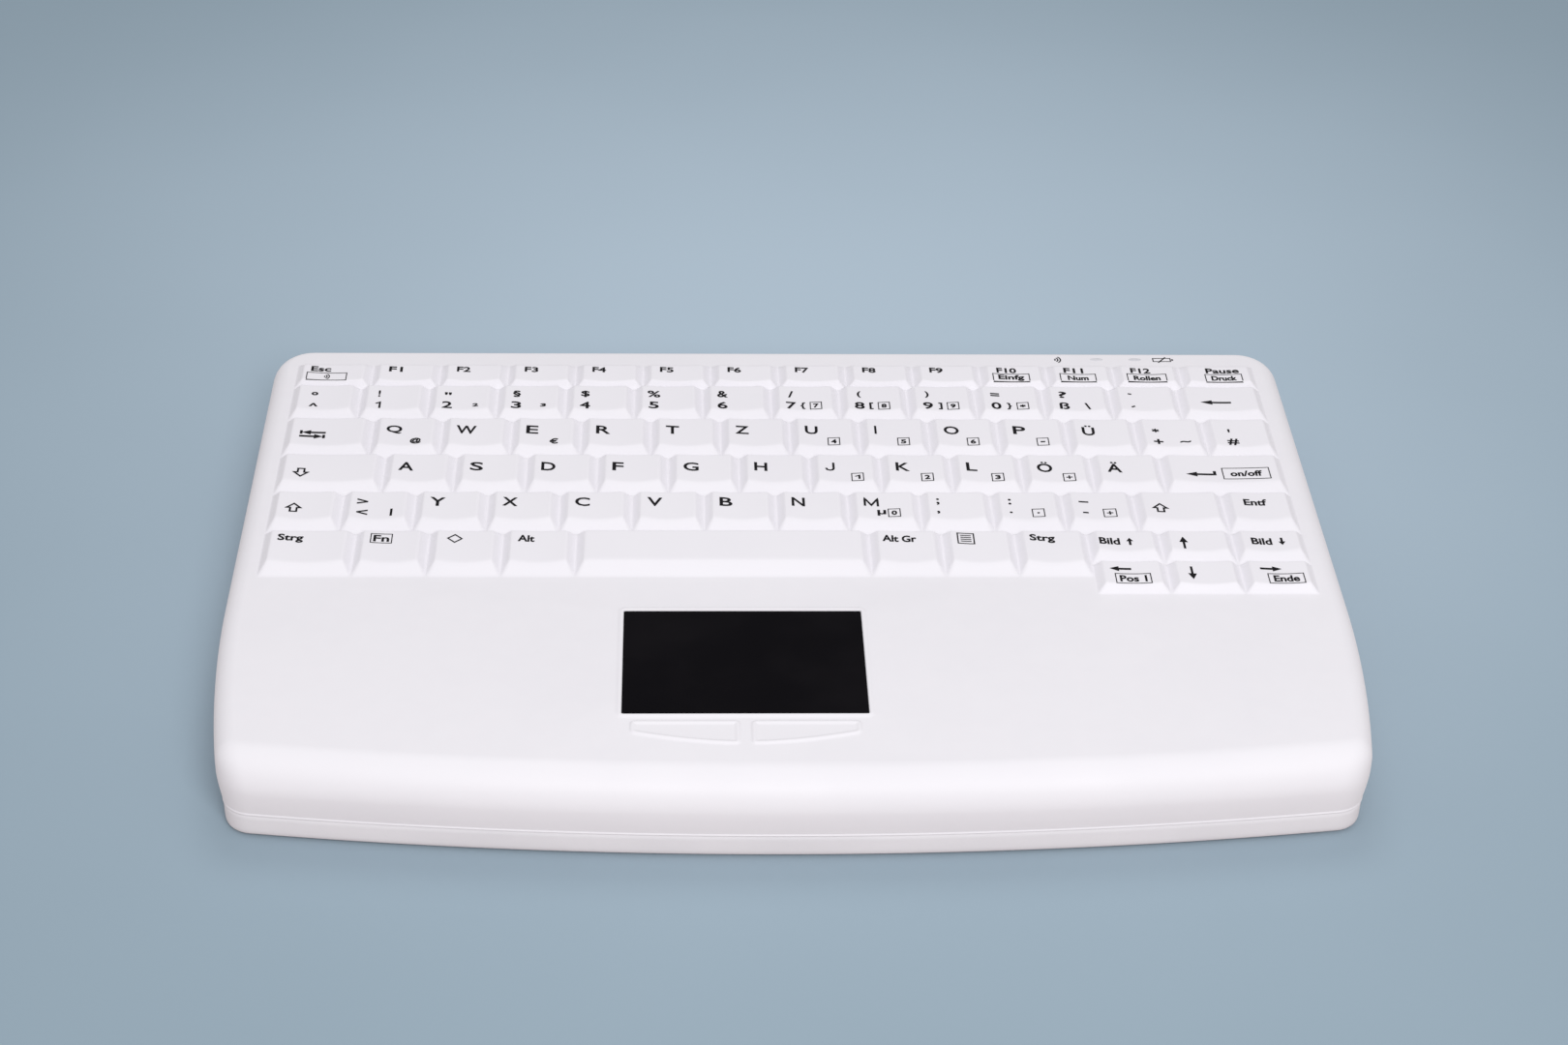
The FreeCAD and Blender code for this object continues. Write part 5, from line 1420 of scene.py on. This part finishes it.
# %% [markdown]
# ## The base
# Under the seam the hard base shows as a narrow band, set back by the bead of the skin and rounded
# at the bottom. The CAD base is right but for its corners, which are drawn in flats there. A thin
# band with true corners goes round it, and the base itself keeps its ribs, holes and recesses.
# Its profile is a list of levels and insets; a lip underneath closes it against the base.

# %% Band of the base
BAND = [(7.02, 2.8), (6.95, 2.28), (5.5, 2.3), (3.6, 2.36), (2.4, 2.44), (1.7, 2.56), (1.15, 2.8),
        (0.8, 3.15), (0.65, 3.55), (0.7, 3.9)]
BAND_LIP = (0.96, 5.0)


def build_band():
    mesh = bmesh.new()
    lip_level, lip_inset = BAND_LIP
    loops = [add_loop(mesh, outline(lip_inset), lip_level)]
    loops += [add_loop(mesh, outline(*tucked(inset)), level) for level, inset in BAND[::-1]]
    join_loops(mesh, loops)
    piece = finish_piece(mesh, "base_band", base_plastic)
    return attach(piece, "housing")


build_band()

# %% [markdown]
# ## Finishes of the CAD pieces
# What the frame already has in its right shape only takes a finish. Most of it is inside and shows
# when the keyboard is opened, but each piece is treated like the outer ones. The finish goes into
# the object's own material slots, and the object itself stays as it is.

# %% Finishes by piece
FINISHES = {
    "bottom_housing": base_plastic, "battery_door": base_plastic, "upper_housing": housing_plastic,
    "key_guide_plate": guide_plastic, "dome_mat": dome_rubber, "contact_membrane": printed_film,
    "backing_plate": backing_steel, "touchpad_board": circuit_board,
    "button_board": circuit_board, "controller_board": circuit_board, "membrane_tail": printed_film,
    "touchpad_cable": flat_cable, "status_light_pipes": clear_plastic, "battery_cells": cell_jacket,
    "battery_contacts": contact_metal, "door_seal": seal_rubber, "door_screws": screw_steel,
    "housing_screws": screw_steel, "rubber_feet": foot_rubber,
}
for name, finish in FINISHES.items():
    node = frame["nodes"][name]
    if not node.material_slots:
        node.data.materials.append(finish.material)
    for place in node.material_slots:
        place.material = finish.material
print(len(FINISHES), "CAD pieces finished")


# %% [markdown]
# ## Floor
# The keyboard lies on a pale blue floor with a pool of painted light on it: its colour is brightest
# near a place behind the keyboard and darkens gently away from there. Such a floor would throw blue
# light onto the white rubber, which should stay neutral. So the floor is blue for the camera only:
# for every other ray a Light Path node makes it grey-white. It is a disc of a few rings, large
# enough to reach almost to the horizon.

# %% Floor
# The pool of light painted on the floor: its centre, and in millimetres where its fade starts and ends.
PAINTED_LIGHT_CENTRE = metres(20, 160, 0)
PAINTED_LIGHT_FADE_START = 50
PAINTED_LIGHT_FADE_END = 450
FLOOR_RINGS = (9000, 4000, 1200, 400)
FLOOR_STEPS = 64


def floor_finish_with_painted_light():
    made = Finish("floor_blue_with_painted_light", Roughness=0.9, Specular_IOR_Level=0.1)
    seen_by_camera = made.node("LightPath", output="Is Camera Ray")
    places = {0: made.place(), 1: PAINTED_LIGHT_CENTRE}
    distance = made.node("VectorMath", {"operation": "DISTANCE"}, places, output="Value")
    # Painted light: the blue is brightest near the centre behind the keyboard and darker further away, its
    # edge broken a little by noise.
    painted_light_fade = made.ramp(distance + made.grain(180) * 0.08, PAINTED_LIGHT_FADE_START / 1000, PAINTED_LIGHT_FADE_END / 1000)
    blue = made.mixed(painted_light_fade, tint(0.44, 0.545, 0.635), tint(0.28, 0.365, 0.43))
    return made.colour(made.mixed(seen_by_camera, tint(0.56, 0.53, 0.53), blue))


def build_floor():
    mesh = bmesh.new()
    angles = [2 * pi * i / FLOOR_STEPS for i in range(FLOOR_STEPS)]
    circles = [[(radius * cos(a), radius * sin(a)) for a in angles] for radius in FLOOR_RINGS]
    rings = [add_loop(mesh, circle, 0) for circle in circles]
    mesh.faces.new(rings[-1])
    join_loops(mesh, rings)
    floor = finish_piece(mesh, "floor", floor_finish_with_painted_light())
    return floor


build_floor()

# %% [markdown]
# ## World and lamps
# The world is an even pale light from all sides that lifts the shadows. Where the camera looks
# past the floor it sees a plain blue-grey backdrop in its place, again by a Light Path node. The
# world's nodes are made by the same method as those of the finishes.

# %% World
def studio_world():
    world = bpy.data.worlds.new("studio")
    world.use_nodes = True
    nodes = world.node_tree.nodes
    nodes.remove(nodes["Background"])
    studio = Network(world.node_tree)
    even_light = studio.node("Background", None, {"Color": tint(1.0, 0.985, 1.0), "Strength": 0.58})
    backdrop = studio.node("Background", None, {"Color": tint(0.19, 0.24, 0.28)})
    seen_by_camera = studio.node("LightPath", output="Is Camera Ray")
    sky = studio.node("MixShader", None, {0: seen_by_camera, 1: even_light, 2: backdrop})
    studio.plug(sky, nodes["World Output"].inputs["Surface"])
    return world


bpy.context.scene.world = studio_world()
print("an even world with a backdrop")


# %% [markdown]
# Two round soft lamps shape the forms. The key lamp stands above the user and a little to the
# right: the skirts that face the user are the brightest and those at the far ends fall into grey.
# A weaker lamp above the rear lights the tops and the floor behind. Both look at the middle of
# the keyboard, where the axes of the frame meet.

# %% Lamps
def lamp(name, place, size, power):
    light = bpy.data.lights.new(name, "AREA")
    light.shape = "DISK"
    light.size = size / 1000
    light.energy = power
    holder = bpy.data.objects.new(name, light)
    holder.location = metres(*place)
    holder.rotation_euler = (-holder.location).to_track_quat("-Z", "Y").to_euler()
    bpy.context.collection.objects.link(holder)


lamp("key_lamp", (120, -880, 720), size=500, power=6.3)
lamp("rear_lamp", (0, 450, 1000), size=600, power=2.0)
print("two lamps")

# %% [markdown]
# ## Camera
# The camera is the one that took the photograph, as far as that can be told: its place, its turn
# and its lens were fitted to the corners of the keys, whose distance apart is known. It stands
# two thirds of a metre in front of the keyboard's middle and half a metre above the table.

# %% Camera
CAMERA_PLACE = (-28.9, -688.8, 474.9)
CAMERA_TURN = (57.213, -1.087, -1.625)
LENS = 72.93

camera = bpy.data.cameras.new("camera")
camera.sensor_width = 36
camera.lens = LENS
viewer = bpy.data.objects.new("camera", camera)
viewer.location = metres(*CAMERA_PLACE)
viewer.rotation_euler = [radians(angle) for angle in CAMERA_TURN]
bpy.context.collection.objects.link(viewer)
bpy.context.scene.camera = viewer
bpy.context.scene.view_settings.view_transform = "Standard"
print("camera at", [round(value, 3) for value in viewer.location])
